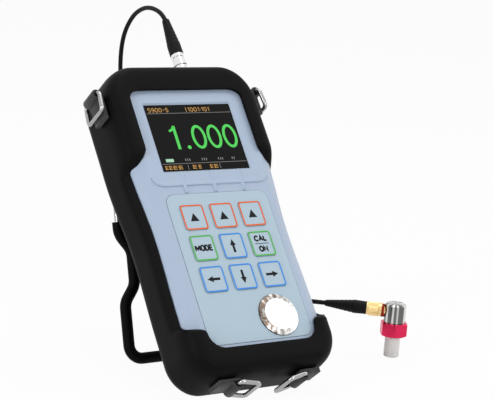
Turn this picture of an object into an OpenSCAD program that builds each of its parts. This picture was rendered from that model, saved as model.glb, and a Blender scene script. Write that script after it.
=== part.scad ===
/* [Stance] */
// Angle by which the gauge leans back from the vertical, degrees
lean = 40; // [34:1:46]
// Angle by which the stand swings out of the back, degrees
stand_angle = 22.2; // [16:0.2:30]

/* [Case] */
// Width of the case between the display window and its side
display_side = 15.25; // [13:0.25:18]
// Length of the case between the display window and its top end
display_top = 17.55; // [15:0.05:22]
// Width of the case beside the keypad overlay at its waist
waist_side = 8.4; // [7.4:0.1:10]
// Width of the case beside the keypad overlay at its foot
foot_side = 9.1; // [8:0.1:11]
// Wall of the two case shells
case_wall = 2.2; // [1.6:0.1:2.6]
// Thickness of the front panel of the case
front_wall = 3; // [2.6:0.1:3.4]
// Radius of the two upper corners of the case
top_corner_r = 15; // [12:0.5:18]
// Radius of the two lower corners of the case
bottom_corner_r = 12; // [11.5:0.5:16]
// Width of the sloping edge round the front face
bevel_width = 6.8; // [5:0.2:7]
// Depth of the sloping edge round the front face
bevel_depth = 5; // [4:0.5:6]
// Radius of the rounded edge round the back
back_edge_r = 7; // [5:0.5:8]
// Depth of the joint between the two case shells below the front face
split_depth = 14; // [13:0.5:15]
// Drop of the keypad zone below the display zone of the front face
zone_drop = 0.5; // [0.3:0.1:0.8]

/* [Boot] */
// Wall of the rubber boot along the sides
boot_side_wall = 3; // [2:0.25:4]
// Wall of the rubber boot over the top end
boot_top_wall = 5.5; // [4:0.5:7]
// Wall of the rubber boot under the foot
boot_bottom_wall = 4; // [3:0.5:5]
// Wall of the rubber boot across the back
boot_back_wall = 2.5; // [2:0.25:3.5]
// Reach of the boot's lip over each side of the front face
lip_side_reach = 9.2; // [8:0.2:10]
// Reach of the boot's lip over the top end of the front face
lip_top_reach = 11; // [9:0.5:12]
// Reach of the boot's lip over the foot of the front face
lip_bottom_reach = 10; // [9:0.25:10.5]
// Height of the boot's lip above the front face
lip_height = 2.5; // [1.5:0.25:3.5]

/* [Display] */
// Width of the display window
window_w = 49.5; // [44:0.5:51]
// Height of the display window
window_h = 36.9; // [32:0.5:38]
// Distance between the keypad overlay and the display window
display_gap = 12.55; // [11:0.05:16]
// Depth of the lens below the front face
lens_recess = 0.8; // [0.5:0.1:1.2]

/* [Keypad] */
// Distance between key centres across the gauge
key_pitch_x = 16.5; // [15.5:0.25:18]
// Distance between key centres along the gauge
key_pitch_y = 16.3; // [15.5:0.1:17]
// Width of one key
key_w = 12.6; // [11:0.2:13.4]
// Height of one key
key_h = 13.1; // [11:0.1:13.4]
// Width of the overlay beside the keys
key_side = 6; // [4.8:0.1:8]
// Length of the overlay above the keys
key_top = 6.15; // [4.5:0.05:9]
// Distance between the lowest keys and the reference disc
key_disc_gap = 3.95; // [2.5:0.05:6]
// Travel of a key when it is pressed
key_travel = 0.3; // [0.2:0.05:0.3]
// Lower edge of the overlay above the foot of the case
overlay_low_y = 11; // [10.8:0.2:13]
// Radius of the steel reference disc
disc_r = 10.5; // [8:0.25:11]
// Width of the overlay to the right of the disc
disc_side = 5.7; // [4:0.1:9]
// Length of the overlay below the disc
disc_foot = 1.2; // [0.8:0.1:3]

/* [Bail stand] */
// Radius of the steel wire of the stand
wire_r = 1.5; // [1.2:0.1:1.7]
// Radius of the rubber sleeve on the stand
sleeve_r = 2.8; // [2.4:0.1:3]
// Half width of the stand at its pivot and its foot
bail_half = 34.2; // [32:0.2:36]
// Distance by which each side of the stand steps in at its neck
neck_inset = 6.3; // [5.1:0.3:7.5]
// Distance of the pivot below the top end of the case
pivot_drop = 52; // [46:0.5:58]

/* [Strap lugs] */
// Width of the webbing of a strap lug
webbing_w = 11; // [9:0.5:11]
// Thickness of one layer of webbing
webbing_t = 1.2; // [1:0.1:1.4]
// Radius of the wire of a strap ring
ring_wire_r = 1.1; // [0.9:0.05:1.15]
// Length of a strap ring along its pivot bar, outside
ring_length = 18; // [17.5:0.5:20]
// Reach of a strap ring from its pivot bar to its far bar
ring_reach = 10.3; // [9:0.1:11]

/* [Probe] */
// Radius of the translucent delay tip
tip_r = 4; // [3.2:0.1:4.2]
// Height of the delay tip below its nut
tip_h = 9.5; // [8:0.5:12]
// Width of the hexagonal retaining nut across its flats
nut_flats = 12.5; // [12:0.25:14]
// Height of the retaining nut
nut_h = 8.7; // [8:0.1:10]
// Radius of the steel probe body
probe_r = 5.5; // [5.4:0.1:6]
// Height of the probe body above its nut
probe_h = 9.7; // [9.4:0.1:11]

/* [Cable] */
// Diameter of the coaxial cable
cable_d = 2.4; // [2:0.1:2.8]

/* [Hidden] */
$fn = 48;
overrun = 1;
fit_gap = 0.2;
boot_gap = 0.25;
film_gap = 0.05;

// Place of the gauge's foot in the shared frame
gauge_x = -30;
gauge_y = -58.5;

// Inner pieces that set the depth of the case
gasket_t = 0.5;
lcd_t = 3.5;
board_gap = 0.25;
board_t = 1.6;
chip_h = 1.4;
chip_cell_gap = 1.8;
cell_r = 7.25;

// The keypad, the display and the cells set the overall sizes of the case
overlay_half = key_pitch_x + key_w / 2 + key_side;
overlay_h = disc_foot + 2 * disc_r + key_disc_gap + 2 * key_pitch_y + key_h + key_top;
overlay_high_y = overlay_low_y + overlay_h;
overlay_mid_y = overlay_low_y + overlay_h / 2;
keypad_y = overlay_high_y - key_top - key_h / 2 - key_pitch_y;
disc_x = overlay_half - disc_side - disc_r;
disc_y = overlay_low_y + disc_foot + disc_r;
window_y = overlay_high_y + display_gap + window_h / 2;
case_length = window_y + window_h / 2 + display_top;
case_upper_half = window_w / 2 + display_side;
case_waist_half = overlay_half + waist_side;
case_lower_half = overlay_half + foot_side;
board_z = -(front_wall + gasket_t + lcd_t + board_gap);
case_depth = board_t + chip_h - board_z + chip_cell_gap + 2 * cell_r + boot_gap + case_wall;

// Outline of the case: waist, shoulder and hip follow the case length by shares
waist_share = 0.417;
shoulder_share = 0.705;
hip_share = 0.19;
waist_y = case_length * waist_share;
shoulder_y = case_length * shoulder_share;
hip_y = case_length * hip_share;
corner_steps = 6;

// The boot's lip covers the display end and the foot and leaves the waist bare
horn_rise = 4.5;
horn_h = 6;
cheek_drop = 6;
cheek_h = 10.5;
horn_root_y = bottom_corner_r + horn_rise;
horn_top_y = horn_root_y + horn_h;
cheek_high_y = window_y - cheek_drop;
cheek_low_y = cheek_high_y - cheek_h;

function blend(t) = (1 - cos(180 * min(1, max(0, t)))) / 2;
function ease(t) = sin(90 * min(1, max(0, t)));
function half_width(y) = y > waist_y
    ? case_waist_half + (case_upper_half - case_waist_half)
        * blend((y - waist_y) / (shoulder_y - waist_y))
    : case_waist_half + (case_lower_half - case_waist_half)
        * blend((waist_y - y) / (waist_y - hip_y));
function lip_share(y) = y > waist_y
    ? ease((y - cheek_low_y) / (cheek_high_y - cheek_low_y))
    : ease((horn_top_y - y) / (horn_top_y - horn_root_y));
function steps(from, to, count) = [for (i = [1:count]) from + (to - from) * i / count];

side_y = concat(steps(bottom_corner_r, horn_root_y, 1), steps(horn_root_y, horn_top_y, 5),
    steps(horn_top_y, cheek_low_y, 8), steps(cheek_low_y, cheek_high_y, 5),
    steps(cheek_high_y, case_length - top_corner_r - overrun, 2));
side_last = len(side_y) - 1;

// Each outline entry holds a point of the case outline, its outward direction and
// the share of the boot's lip that it carries
function corner(x, y, r, start) = [for (i = [0:corner_steps])
    let (a = start + 90 * i / corner_steps)
    [[x + r * cos(a), y + r * sin(a)], [cos(a), sin(a)], 1]];
outline = concat(
    [for (y = side_y) [[half_width(y), y], [1, 0], lip_share(y)]],
    corner(case_upper_half - top_corner_r, case_length - top_corner_r, top_corner_r, 0),
    corner(top_corner_r - case_upper_half, case_length - top_corner_r, top_corner_r, 90),
    [for (i = [0:side_last]) let (y = side_y[side_last - i])
        [[-half_width(y), y], [-1, 0], lip_share(y)]],
    corner(bottom_corner_r - case_lower_half, bottom_corner_r, bottom_corner_r, 180),
    corner(case_lower_half - bottom_corner_r, bottom_corner_r, bottom_corner_r, 270));

// A station is an inset from the case outline at the sides, top and foot, and a height
function even(inset, z) = [inset, inset, inset, z];
function place(entry, st) = [entry[0][0] - entry[1][0] * st[0],
    entry[0][1] - entry[1][1] * (entry[1][1] > 0 ? st[1] : st[2]), st[3]];
function ring(full, bare) = [for (entry = outline)
    place(entry, entry[2] * full + (1 - entry[2]) * bare)];
function level(st) = ring(st, st);

// Closed solid through a list of closed rings with equal numbers of points; each end is
// closed by strips across it, from the foot of the ring to its top
function strips(n, from) = [for (m = [0:n / 2 - 2])
    let (a = (n - corner_steps - 1 + m) % n, b = (n - corner_steps + m) % n,
        c = (2 * n - corner_steps - 3 - m) % n, d = (2 * n - corner_steps - 2 - m) % n)
    for (t = from > 0 ? [[c, b, a], [d, c, a]] : [[a, b, c], [a, c, d]])
    [from + t[0], from + t[1], from + t[2]]];
module loft(rings) {
    n = len(rings[0]);
    last = len(rings) - 1;
    polyhedron(
        points = [for (r = rings) for (p = r) p],
        faces = concat(
            strips(n, 0),
            [for (j = [0:last - 1]) for (i = [0:n - 1]) let (k = (i + 1) % n)
                [j * n + i, (j + 1) * n + i, (j + 1) * n + k]],
            [for (j = [0:last - 1]) for (i = [0:n - 1]) let (k = (i + 1) % n)
                [j * n + i, (j + 1) * n + k, j * n + k]],
            strips(n, last * n)));
}

function rounded(w, h, r, z = undef) = [for (q = [0:3]) for (i = [0:corner_steps])
    let (a = 90 * q + 90 * i / corner_steps,
        x = (q == 0 || q == 3 ? 1 : -1) * (w / 2 - r) + r * cos(a),
        y = (q < 2 ? 1 : -1) * (h / 2 - r) + r * sin(a))
    is_undef(z) ? [x, y] : [x, y, z]];
module slab(w, h, r, low, high) {
    translate([0, 0, low]) linear_extrude(high - low) polygon(rounded(w, h, r));
}
module rod(r, low, high) {
    translate([0, 0, low]) cylinder(r = r, h = high - low);
}

// Tube along straight lengths and bends: each move is [length, turn, bend radius]
module tube_face(outer, inner) {
    difference() {
        circle(outer);
        if (inner > 0) circle(inner);
    }
}
module run(moves, outer, inner, i = 0) {
    if (i < len(moves)) {
        m = moves[i];
        turn = m[1];
        if (m[0] > 0) rotate([-90, 0, 0]) linear_extrude(m[0]) tube_face(outer, inner);
        translate([0, m[0], 0]) {
            if (turn != 0) translate([turn > 0 ? -m[2] : m[2], 0, 0])
                rotate([0, 0, turn > 0 ? 0 : 180 + turn])
                rotate_extrude(angle = abs(turn)) translate([m[2], 0]) tube_face(outer, inner);
            translate([(turn > 0 ? -1 : 1) * m[2] * (1 - cos(turn)), m[2] * sin(abs(turn)), 0])
                rotate([0, 0, turn]) run(moves, outer, inner, i + 1);
        }
    }
}

// Section of the boot: rounded back edge, side, rounded front edge, lip and inner face
boot_back_r = back_edge_r + boot_back_wall;
boot_back = case_depth + boot_gap + boot_back_wall;
side_out = boot_side_wall + boot_gap;
top_out = boot_top_wall + boot_gap;
bottom_out = boot_bottom_wall + boot_gap;
foot_flat = 30;
back_angles = [90, lean + foot_flat / 2, lean - foot_flat / 2, 0];
front_angles = [0, 30, 60, 90];
lip_round = 6.2;
lip_round_depth = 10.5;
rim_foot_depth = 11;
rim_share = [0, 0.12, 0.36, 0.59, 0.78, 0.92, 1, 1, 1];
rim_rise_share = [0, 0.28, 0.52, 0.72, 0.88, 1, 0.94, 0.84, 0.74];
rim_rise = rim_foot_depth - bevel_depth - 4 * boot_gap;
lip_nose = 0.6;
boot_play = 0.1;

function out(inset, z) = [inset - side_out, inset - top_out, inset - bottom_out, z];
function back_station(a) = out(boot_back_r * (1 - cos(a)),
    -(boot_back - boot_back_r) - boot_back_r * sin(a));
function front_station(a) = out(lip_round * (1 - cos(a)),
    lip_height - lip_round_depth * (1 - sin(a)));
function rim_station(i) = even(-side_out + (side_out - boot_gap) * rim_share[i],
    -rim_foot_depth + rim_rise * rim_rise_share[i]);
lip_stations = [for (a = front_angles) front_station(a),
    [lip_side_reach - lip_nose, lip_top_reach - lip_nose, lip_bottom_reach - lip_nose,
        lip_height - boot_gap],
    [lip_side_reach, lip_top_reach, lip_bottom_reach, lip_height - lip_nose - boot_gap],
    [lip_side_reach - boot_gap, lip_top_reach - boot_gap, lip_bottom_reach - boot_gap, boot_gap],
    even(bevel_width - boot_gap, boot_gap),
    even(-boot_gap, boot_gap / 2 - bevel_depth)];
inner_r = back_edge_r + boot_gap;
inner_angles = [0, 25, 55, 90];
boot_rings = concat(
    [for (a = back_angles) level(back_station(a))],
    [for (i = [0:len(lip_stations) - 1]) ring(lip_stations[i], rim_station(i))],
    [for (a = inner_angles) level(even(-boot_gap + inner_r * (1 - cos(a)),
        -(case_depth + boot_gap - inner_r) - inner_r * sin(a)))]);

// The boot stands on the flat of its rounded back edge
foot_angle = lean - foot_flat / 2;
foot_y = -bottom_out + boot_back_r * (1 - cos(foot_angle));
foot_z = -(boot_back - boot_back_r) - boot_back_r * sin(foot_angle);
lift = -(foot_y * cos(lean) + foot_z * sin(lean));
module gauge() {
    translate([gauge_x, gauge_y, lift]) rotate([90 - lean, 0, 0]) children();
}

// Cable connection at the top end
socket_x = 13.3;
socket_z = -split_depth;
socket_r = 4.2;
socket_bore_r = 2.6;
plug_hole_r = 7;
plug_r = 3.7;
socket_flange_w = 1;
socket_depth = 9;
socket_bore_depth = 6;
socket_nut_w = 1.6;
socket_nut_h = 2;
plug_seat = 1.2;
plug_sleeve_h = 12.3;
plug_collar_h = 8;
plug_step = 0.4;
plug_pin_depth = 4;
relief_h = 17.5;
relief_shoulder = 5;
relief_step = 0.5;
relief_wall = 0.4;
plug_low_y = case_length + plug_seat;
plug_waist_y = plug_low_y + plug_sleeve_h;
plug_top_y = plug_waist_y + plug_collar_h;
relief_top_y = plug_top_y + relief_h;
module along_y(x, z) {
    translate([x, 0, z]) rotate([-90, 0, 0]) children();
}

// Case screws and the screws of the stand's bracket
low_screw_inset = 6.9;
high_screw_inset = 9;
low_screw_x = case_lower_half - low_screw_inset;
high_screw_x = case_upper_half - high_screw_inset;
screw_low_y = 14;
screw_high_y = case_length - high_screw_inset;
screw_shaft_r = 1.25;
screw_head_r = 2.7;
screw_head_h = 1.8;
screw_sink = 2.5;
screw_tip_z = -6;
front_boss_r = 3;
front_boss_root = 0.4;
rear_boss_r = 3.4;
bracket_screw_x = 14;
bracket_screw_depth = 4.5;
bracket_screw_tip_z = -(case_depth - bracket_screw_depth);
module at_case_screws() {
    for (side = [-1, 1]) {
        translate([side * low_screw_x, screw_low_y, 0]) children();
        translate([side * high_screw_x, screw_high_y, 0]) children();
    }
}
module at_bracket_screws() {
    for (x = [-bracket_screw_x, bracket_screw_x]) translate([x, pivot_y, 0]) children();
}

// Front shell: sloping edges, display window, keypad pocket and screw bosses
edge_round = 0.5;
shelf_w = 1.2;
window_r = 0.4;
window_chamfer = 0.8;
lens_margin = 1.25;
lens_seat_r = 1.5;
pocket_depth = 1.7;
overlay_r = 5;
zone_gap = 5.5;
zone_edge_y = overlay_high_y + zone_gap;
zone_curl = 3.5;
rib_w = 0.6;
rib_h = 0.35;
rib_reach = 6.5;
rib_low_y = overlay_high_y + rib_w;
rib_high_y = zone_edge_y + rib_reach;
module front_case() color([0.68, 0.75, 0.85]) gauge() {
    difference() {
        loft([level(even(bevel_width + shelf_w, -front_wall)),
            level(even(case_wall, -bevel_depth - case_wall)),
            level(even(case_wall, -split_depth)),
            level(even(0, -split_depth)),
            level(even(0, -bevel_depth - edge_round)),
            level(even(edge_round, -bevel_depth + edge_round)),
            level(even(bevel_width - edge_round, -edge_round / 2)),
            level(even(bevel_width + edge_round, 0))]);
        translate([0, window_y, 0]) {
            loft([rounded(window_w, window_h, window_r, -front_wall - overrun),
                rounded(window_w, window_h, window_r, -lens_recess),
                rounded(window_w + 2 * window_chamfer, window_h + 2 * window_chamfer,
                    2 * window_r, 0),
                rounded(window_w + 2 * window_chamfer, window_h + 2 * window_chamfer,
                    2 * window_r, overrun)]);
            slab(window_w + 2 * lens_margin, window_h + 2 * lens_margin, lens_seat_r,
                -front_wall - overrun, -lens_recess);
        }
        translate([0, 0, -zone_drop]) linear_extrude(overrun) polygon([
            [-case_upper_half, -overrun], [case_upper_half, -overrun],
            [case_upper_half, zone_edge_y + 2 * zone_curl],
            [overlay_half + zone_curl, zone_edge_y + zone_curl],
            [overlay_half + zone_curl / 3, zone_edge_y + zone_curl / 4],
            [overlay_half - zone_curl / 2, zone_edge_y],
            [-overlay_half + zone_curl / 2, zone_edge_y],
            [-overlay_half - zone_curl / 3, zone_edge_y + zone_curl / 4],
            [-overlay_half - zone_curl, zone_edge_y + zone_curl],
            [-case_upper_half, zone_edge_y + 2 * zone_curl]]);
        translate([0, overlay_mid_y, 0])
            slab(2 * (overlay_half + fit_gap), overlay_h + 2 * fit_gap, overlay_r + fit_gap,
                -pocket_depth, overrun);
        along_y(socket_x, socket_z) rod(socket_r + fit_gap, case_length / 2, case_length + overrun);
    }
    for (i = [-1:1]) translate([i * key_pitch_x + rib_w, (rib_low_y + rib_high_y) / 2, 0])
        slab(rib_w, rib_high_y - rib_low_y, rib_w / 3, -2 * zone_drop, rib_h);
    at_case_screws() difference() {
        rod(front_boss_r, -split_depth, -front_wall + front_boss_root);
        rod(screw_shaft_r + film_gap, -split_depth - overrun, screw_tip_z + overrun);
    }
}

// Rear shell: rounded back, battery bay, sunk screw holes and bosses
cell_h = 49;
cell_pitch = 2 * cell_r + fit_gap;
door_r = 3;
door_side = 2.3;
door_end = 5.5;
door_low_y = 11;
door_w = 2 * (cell_pitch + door_side);
door_h = cell_h + 2 * door_end;
door_y = door_low_y + door_h / 2;
rear_fillet_w = 3.8;
rear_step_w = 1.2;
rear_step_h = 1.8;
module rear_case() color([0.66, 0.73, 0.83]) gauge() difference() {
    union() {
        loft([for (a = [90, 55, 25, 0]) level(even(back_edge_r * (1 - cos(a)),
                -(case_depth - back_edge_r) - back_edge_r * sin(a))),
            level(even(0, -split_depth)),
            level(even(case_wall, -split_depth)),
            level(even(case_wall, -(case_depth - back_edge_r))),
            level(even(case_wall + rear_step_w, -(case_depth - case_wall) + rear_step_h)),
            level(even(case_wall + rear_fillet_w, -(case_depth - case_wall)))]);
        at_case_screws() rod(rear_boss_r, -(case_depth - case_wall) - overrun / 2, -split_depth);
        at_bracket_screws() rod(rear_boss_r, -(case_depth - case_wall) - overrun / 2,
            bracket_screw_tip_z + overrun);
    }
    at_case_screws() {
        rod(screw_shaft_r + fit_gap, -case_depth, -split_depth + overrun);
        rod(screw_head_r + fit_gap, -case_depth - overrun, -(case_depth - screw_sink));
    }
    at_bracket_screws() rod(screw_shaft_r + film_gap, -case_depth - overrun,
        bracket_screw_tip_z + 2 * overrun);
    translate([0, door_y, 0]) slab(door_w + 2 * fit_gap, door_h + 2 * fit_gap, door_r + fit_gap,
        -case_depth - overrun, -(case_depth - case_wall) + overrun);
    along_y(socket_x, socket_z) rod(socket_r + fit_gap, case_length / 2, case_length + overrun);
}
module battery_door() color([0.66, 0.73, 0.83]) gauge() translate([0, door_y, 0]) {
    slab(door_w, door_h, door_r, -case_depth, -(case_depth - case_wall));
}

// Two AA cells side by side behind the door
cell_nub_r = 2.7;
cell_nub_h = 1;
cell_z = -(case_depth - case_wall) + cell_r + boot_gap;
cell_low_y = door_y - (cell_h + cell_nub_h) / 2;
contact_t = 0.5;
contact_h = 9;
module battery_cells() color([0.25, 0.3, 0.32]) gauge() for (side = [-1, 1])
    translate([side * cell_pitch / 2, cell_low_y, cell_z]) rotate([-90, 0, 0]) {
        rod(cell_r, 0, cell_h);
        rod(cell_nub_r, cell_h - overrun, cell_h + cell_nub_h);
    }
module battery_contacts() color([0.8, 0.8, 0.82]) gauge()
    for (y = [cell_low_y - fit_gap - contact_t, cell_low_y + cell_h + cell_nub_h + fit_gap])
        translate([-cell_pitch, y, cell_z - contact_h / 2]) cube([2 * cell_pitch, contact_t, contact_h]);

module case_screws() color([0.75, 0.75, 0.78]) gauge() at_case_screws() {
    rod(screw_head_r, -(case_depth - screw_sink) - screw_head_h, -(case_depth - screw_sink));
    rod(screw_shaft_r, -(case_depth - screw_sink) - screw_head_h / 2, screw_tip_z);
}

// Boards, display and its seals
lcd_side = 3.25;
lcd_end = 3;
lcd_r = 1;
gasket_lip = 0.5;
lcd_w = window_w + 2 * lcd_side;
lcd_h = window_h + 2 * lcd_end;
board_top = 14;
board_half = high_screw_x - front_boss_r - overrun;
board_low_y = screw_low_y + front_boss_r + overrun;
board_high_y = case_length - board_top;
chip_w = 14;
module main_board() color([0.1, 0.35, 0.2]) gauge() {
    translate([-board_half, board_low_y, board_z - board_t])
        cube([2 * board_half, board_high_y - board_low_y, board_t]);
    for (y = [board_low_y + chip_w, window_y - 2 * chip_w])
        translate([-chip_w / 2, y, board_z - board_t - chip_h]) cube([chip_w, chip_w, chip_h + board_t / 2]);
}
module lcd_module() color([0.12, 0.12, 0.14]) gauge() translate([0, window_y, 0])
    slab(lcd_w, lcd_h, lcd_r, -(front_wall + gasket_t + lcd_t), -(front_wall + gasket_t));
module display_gasket() color([0.15, 0.15, 0.15]) gauge() translate([0, window_y, 0]) difference() {
    slab(lcd_w, lcd_h, lcd_r, -(front_wall + gasket_t), -front_wall);
    slab(window_w + 2 * gasket_lip, window_h + 2 * gasket_lip, lcd_r,
        -(front_wall + gasket_t) - overrun, overrun);
}
module display_lens() color([0.05, 0.05, 0.06]) gauge() translate([0, window_y, 0])
    slab(window_w + 2 * lens_margin - 2 * fit_gap, window_h + 2 * lens_margin - 2 * fit_gap,
        lens_seat_r - fit_gap, -front_wall, -lens_recess);

// Keypad: circuit film, domes, overlay frame and nine keys
circuit_t = 0.3;
dome_r = 3;
dome_h = 0.25;
circuit_top = -pocket_depth + circuit_t;
overlay_top = -0.35;
key_face = 0.05;
key_frame_w = 0.7;
key_frame_h = 0.12;
key_r = 1.6;
key_low = circuit_top + dome_h + key_travel + film_gap;
module at_key(column, row) {
    translate([column * key_pitch_x, keypad_y - row * key_pitch_y, 0]) children();
}
module keypad_circuit() color([0.85, 0.6, 0.2]) gauge() translate([0, overlay_mid_y, 0])
    slab(2 * overlay_half, overlay_h, overlay_r, -pocket_depth, circuit_top);
module dome_switches() color([0.8, 0.8, 0.8]) gauge()
    for (column = [-1:1], row = [-1:1]) at_key(column, row) rod(dome_r, circuit_top, circuit_top + dome_h);
module keypad_overlay() color([0.67, 0.77, 0.83]) gauge() difference() {
    translate([0, overlay_mid_y, 0])
        slab(2 * overlay_half, overlay_h, overlay_r, circuit_top, overlay_top);
    for (column = [-1:1], row = [-1:1]) at_key(column, row)
        slab(key_w + 2 * fit_gap, key_h + 2 * fit_gap, key_r + fit_gap, circuit_top - overrun, overrun);
    translate([disc_x, disc_y, 0]) rod(disc_r + fit_gap, circuit_top - overrun, overrun);
}
module key(column, row, tint) color(tint) gauge() at_key(column, row) {
    slab(key_w, key_h, key_r, key_low, key_face);
    difference() {
        slab(key_w, key_h, key_r, key_low, key_face + key_frame_h);
        slab(key_w - 2 * key_frame_w, key_h - 2 * key_frame_w, key_r - key_frame_w,
            key_low - overrun, key_face + overrun);
    }
}

// Steel reference disc with a sloping rim
disc_rim_w = 2.3;
disc_face_r = disc_r - disc_rim_w;
disc_edge_z = 0.2;
disc_face_z = 1.1;
module reference_disc() color([0.8, 0.81, 0.82]) gauge() translate([disc_x, disc_y, 0])
    rotate_extrude() polygon([[0, circuit_top], [disc_r, circuit_top], [disc_r, disc_edge_z],
        [disc_face_r, disc_face_z], [0, disc_face_z]]);

// The ends of the boot's lip are trimmed where they run out against the case
module rubber_boot() color([0.09, 0.09, 0.1]) gauge() difference() {
    loft(boot_rings);
    loft([level(even(-boot_play, -rim_foot_depth)),
        level(even(-boot_play, boot_play - bevel_depth)),
        level(even(bevel_width - boot_play, boot_play))]);
    along_y(socket_x, socket_z) rod(plug_hole_r, case_length / 2, case_length + 2 * top_out);
    at_bracket_screws() rod(screw_shaft_r + 2 * fit_gap, -boot_back - overrun, -split_depth);
}

// Wire stand that swings out of the back
fold_gap = 0.5;
pivot_y = case_length - pivot_drop;
pivot_z = -(boot_back + sleeve_r + fold_gap);
pin_bend_r = 3;
jog_r = 9;
jog_rise = 3;
jog_run = 4;
jog_angle = atan2(jog_rise, jog_run);
foot_bend_r = 7;
pin_length = 4.5;
plate_half = bail_half - pin_bend_r - fit_gap;
pin_end_x = plate_half - pin_length;
leg_top = 10;
neck_length = 11;
sleeve_start = 7;
jog_straight = (neck_inset - 2 * jog_r * (1 - cos(jog_angle))) / sin(jog_angle);
jog_length = 2 * jog_r * sin(jog_angle) + jog_straight * cos(jog_angle);
pivot_height = lift + pivot_y * cos(lean) + pivot_z * sin(lean);
bail_length = (pivot_height - sleeve_r) / cos(lean - stand_angle);
leg_low = bail_length - pin_bend_r - leg_top - neck_length - 2 * jog_length - foot_bend_r;
function leg_moves(first) = [[first, -jog_angle, jog_r], [jog_straight, jog_angle, jog_r],
    [neck_length, jog_angle, jog_r], [jog_straight, -jog_angle, jog_r],
    [leg_low, -90, foot_bend_r], [2 * (bail_half - foot_bend_r), -90, foot_bend_r],
    [leg_low, -jog_angle, jog_r], [jog_straight, jog_angle, jog_r],
    [neck_length, jog_angle, jog_r], [jog_straight, -jog_angle, jog_r]];
module bail_frame() {
    gauge() translate([0, pivot_y, pivot_z]) rotate([stand_angle, 0, 0]) children();
}
module bail_wire() color([0.7, 0.7, 0.72]) bail_frame()
    translate([pin_end_x, 0, 0]) rotate([0, 0, -90])
    run(concat([[bail_half - pin_bend_r - pin_end_x, -90, pin_bend_r]], leg_moves(leg_top),
        [[leg_top, -90, pin_bend_r], [bail_half - pin_bend_r - pin_end_x, 0, 0]]), wire_r, 0);
module bail_sleeve() color([0.07, 0.07, 0.07]) bail_frame()
    translate([bail_half, -pin_bend_r - sleeve_start, 0]) rotate([0, 0, 180])
    run(concat(leg_moves(leg_top - sleeve_start), [[leg_top - sleeve_start, 0, 0]]),
        sleeve_r, wire_r + film_gap);

// Bracket on the back that carries the ends of the wire
plate_h = 15;
plate_t = 1.5;
plate_r = 3;
plate_low = -(boot_back + boot_gap + plate_t);
ear_w = 5.5;
ear_r = 3;
module bail_bracket() color([0.11, 0.11, 0.12]) gauge() difference() {
    union() {
        translate([0, pivot_y, 0]) slab(2 * plate_half, plate_h, plate_r, plate_low, plate_low + plate_t);
        for (side = [0, 1]) mirror([side, 0, 0])
            translate([plate_half - ear_w, pivot_y, pivot_z]) {
                rotate([0, 90, 0]) cylinder(r = ear_r, h = ear_w);
                translate([0, -ear_r, 0]) cube([ear_w, 2 * ear_r, plate_low + plate_t / 2 - pivot_z]);
            }
    }
    translate([-plate_half - overrun, pivot_y, pivot_z]) rotate([0, 90, 0])
        cylinder(r = wire_r + film_gap, h = 2 * (plate_half + overrun));
    at_bracket_screws() rod(screw_shaft_r + fit_gap, plate_low - overrun, plate_low + 2 * plate_t);
}
module bracket_screws() color([0.75, 0.75, 0.78]) gauge() at_bracket_screws() {
    rod(screw_head_r, plate_low - screw_head_h, plate_low);
    rod(screw_shaft_r, plate_low - screw_head_h / 2, bracket_screw_tip_z);
}

// Webbing lugs with steel strap rings at the four corners
lug_z = -9;
lug_hole_r = 1.5;
lug_out = boot_gap + lug_hole_r + webbing_t;
top_pad = 11;
bottom_pad = 7.5;
loop_shift = 2;
ring_corner_r = 2.2;
top_lug_drop = 11;
bottom_lug_inset = 17.4;
top_ring_angle = 173.5;
bottom_ring_angle = 12;
module webbing(pad) {
    translate([0, 0, -webbing_w / 2]) linear_extrude(webbing_w) difference() {
        union() {
            translate([-pad, boot_gap]) square([pad + loop_shift, 2 * webbing_t]);
            translate([loop_shift, lug_out]) circle(lug_hole_r + webbing_t);
        }
        translate([loop_shift, lug_out]) circle(lug_hole_r);
    }
}
module strap_ring(angle) {
    half = ring_length / 2 - ring_wire_r;
    translate([loop_shift, lug_out, 0]) rotate([0, 0, angle - 90]) rotate([0, -90, 0])
        translate([half, ring_corner_r, 0]) run([
            [ring_reach - 2 * ring_corner_r, 90, ring_corner_r],
            [2 * (half - ring_corner_r), 90, ring_corner_r],
            [ring_reach - 2 * ring_corner_r, 90, ring_corner_r],
            [2 * (half - ring_corner_r), 90, ring_corner_r]], ring_wire_r, 0);
}
module top_lug() {
    translate([-case_upper_half - side_out, case_length - top_lug_drop, lug_z])
        rotate([0, 0, 90]) children();
}
module bottom_lug() {
    translate([case_lower_half - bottom_lug_inset, -bottom_out, lug_z])
        rotate([0, 0, 180]) children();
}
module webbing_at_top(side) color([0.07, 0.07, 0.07]) gauge()
    mirror([side, 0, 0]) top_lug() webbing(top_pad);
module webbing_at_bottom(side) color([0.07, 0.07, 0.07]) gauge()
    mirror([side, 0, 0]) bottom_lug() webbing(bottom_pad);
module ring_at_top(side) color([0.8, 0.8, 0.82]) gauge()
    mirror([side, 0, 0]) top_lug() strap_ring(top_ring_angle);
module ring_at_bottom(side) color([0.8, 0.8, 0.82]) gauge()
    mirror([side, 0, 0]) bottom_lug() strap_ring(bottom_ring_angle);

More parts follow.
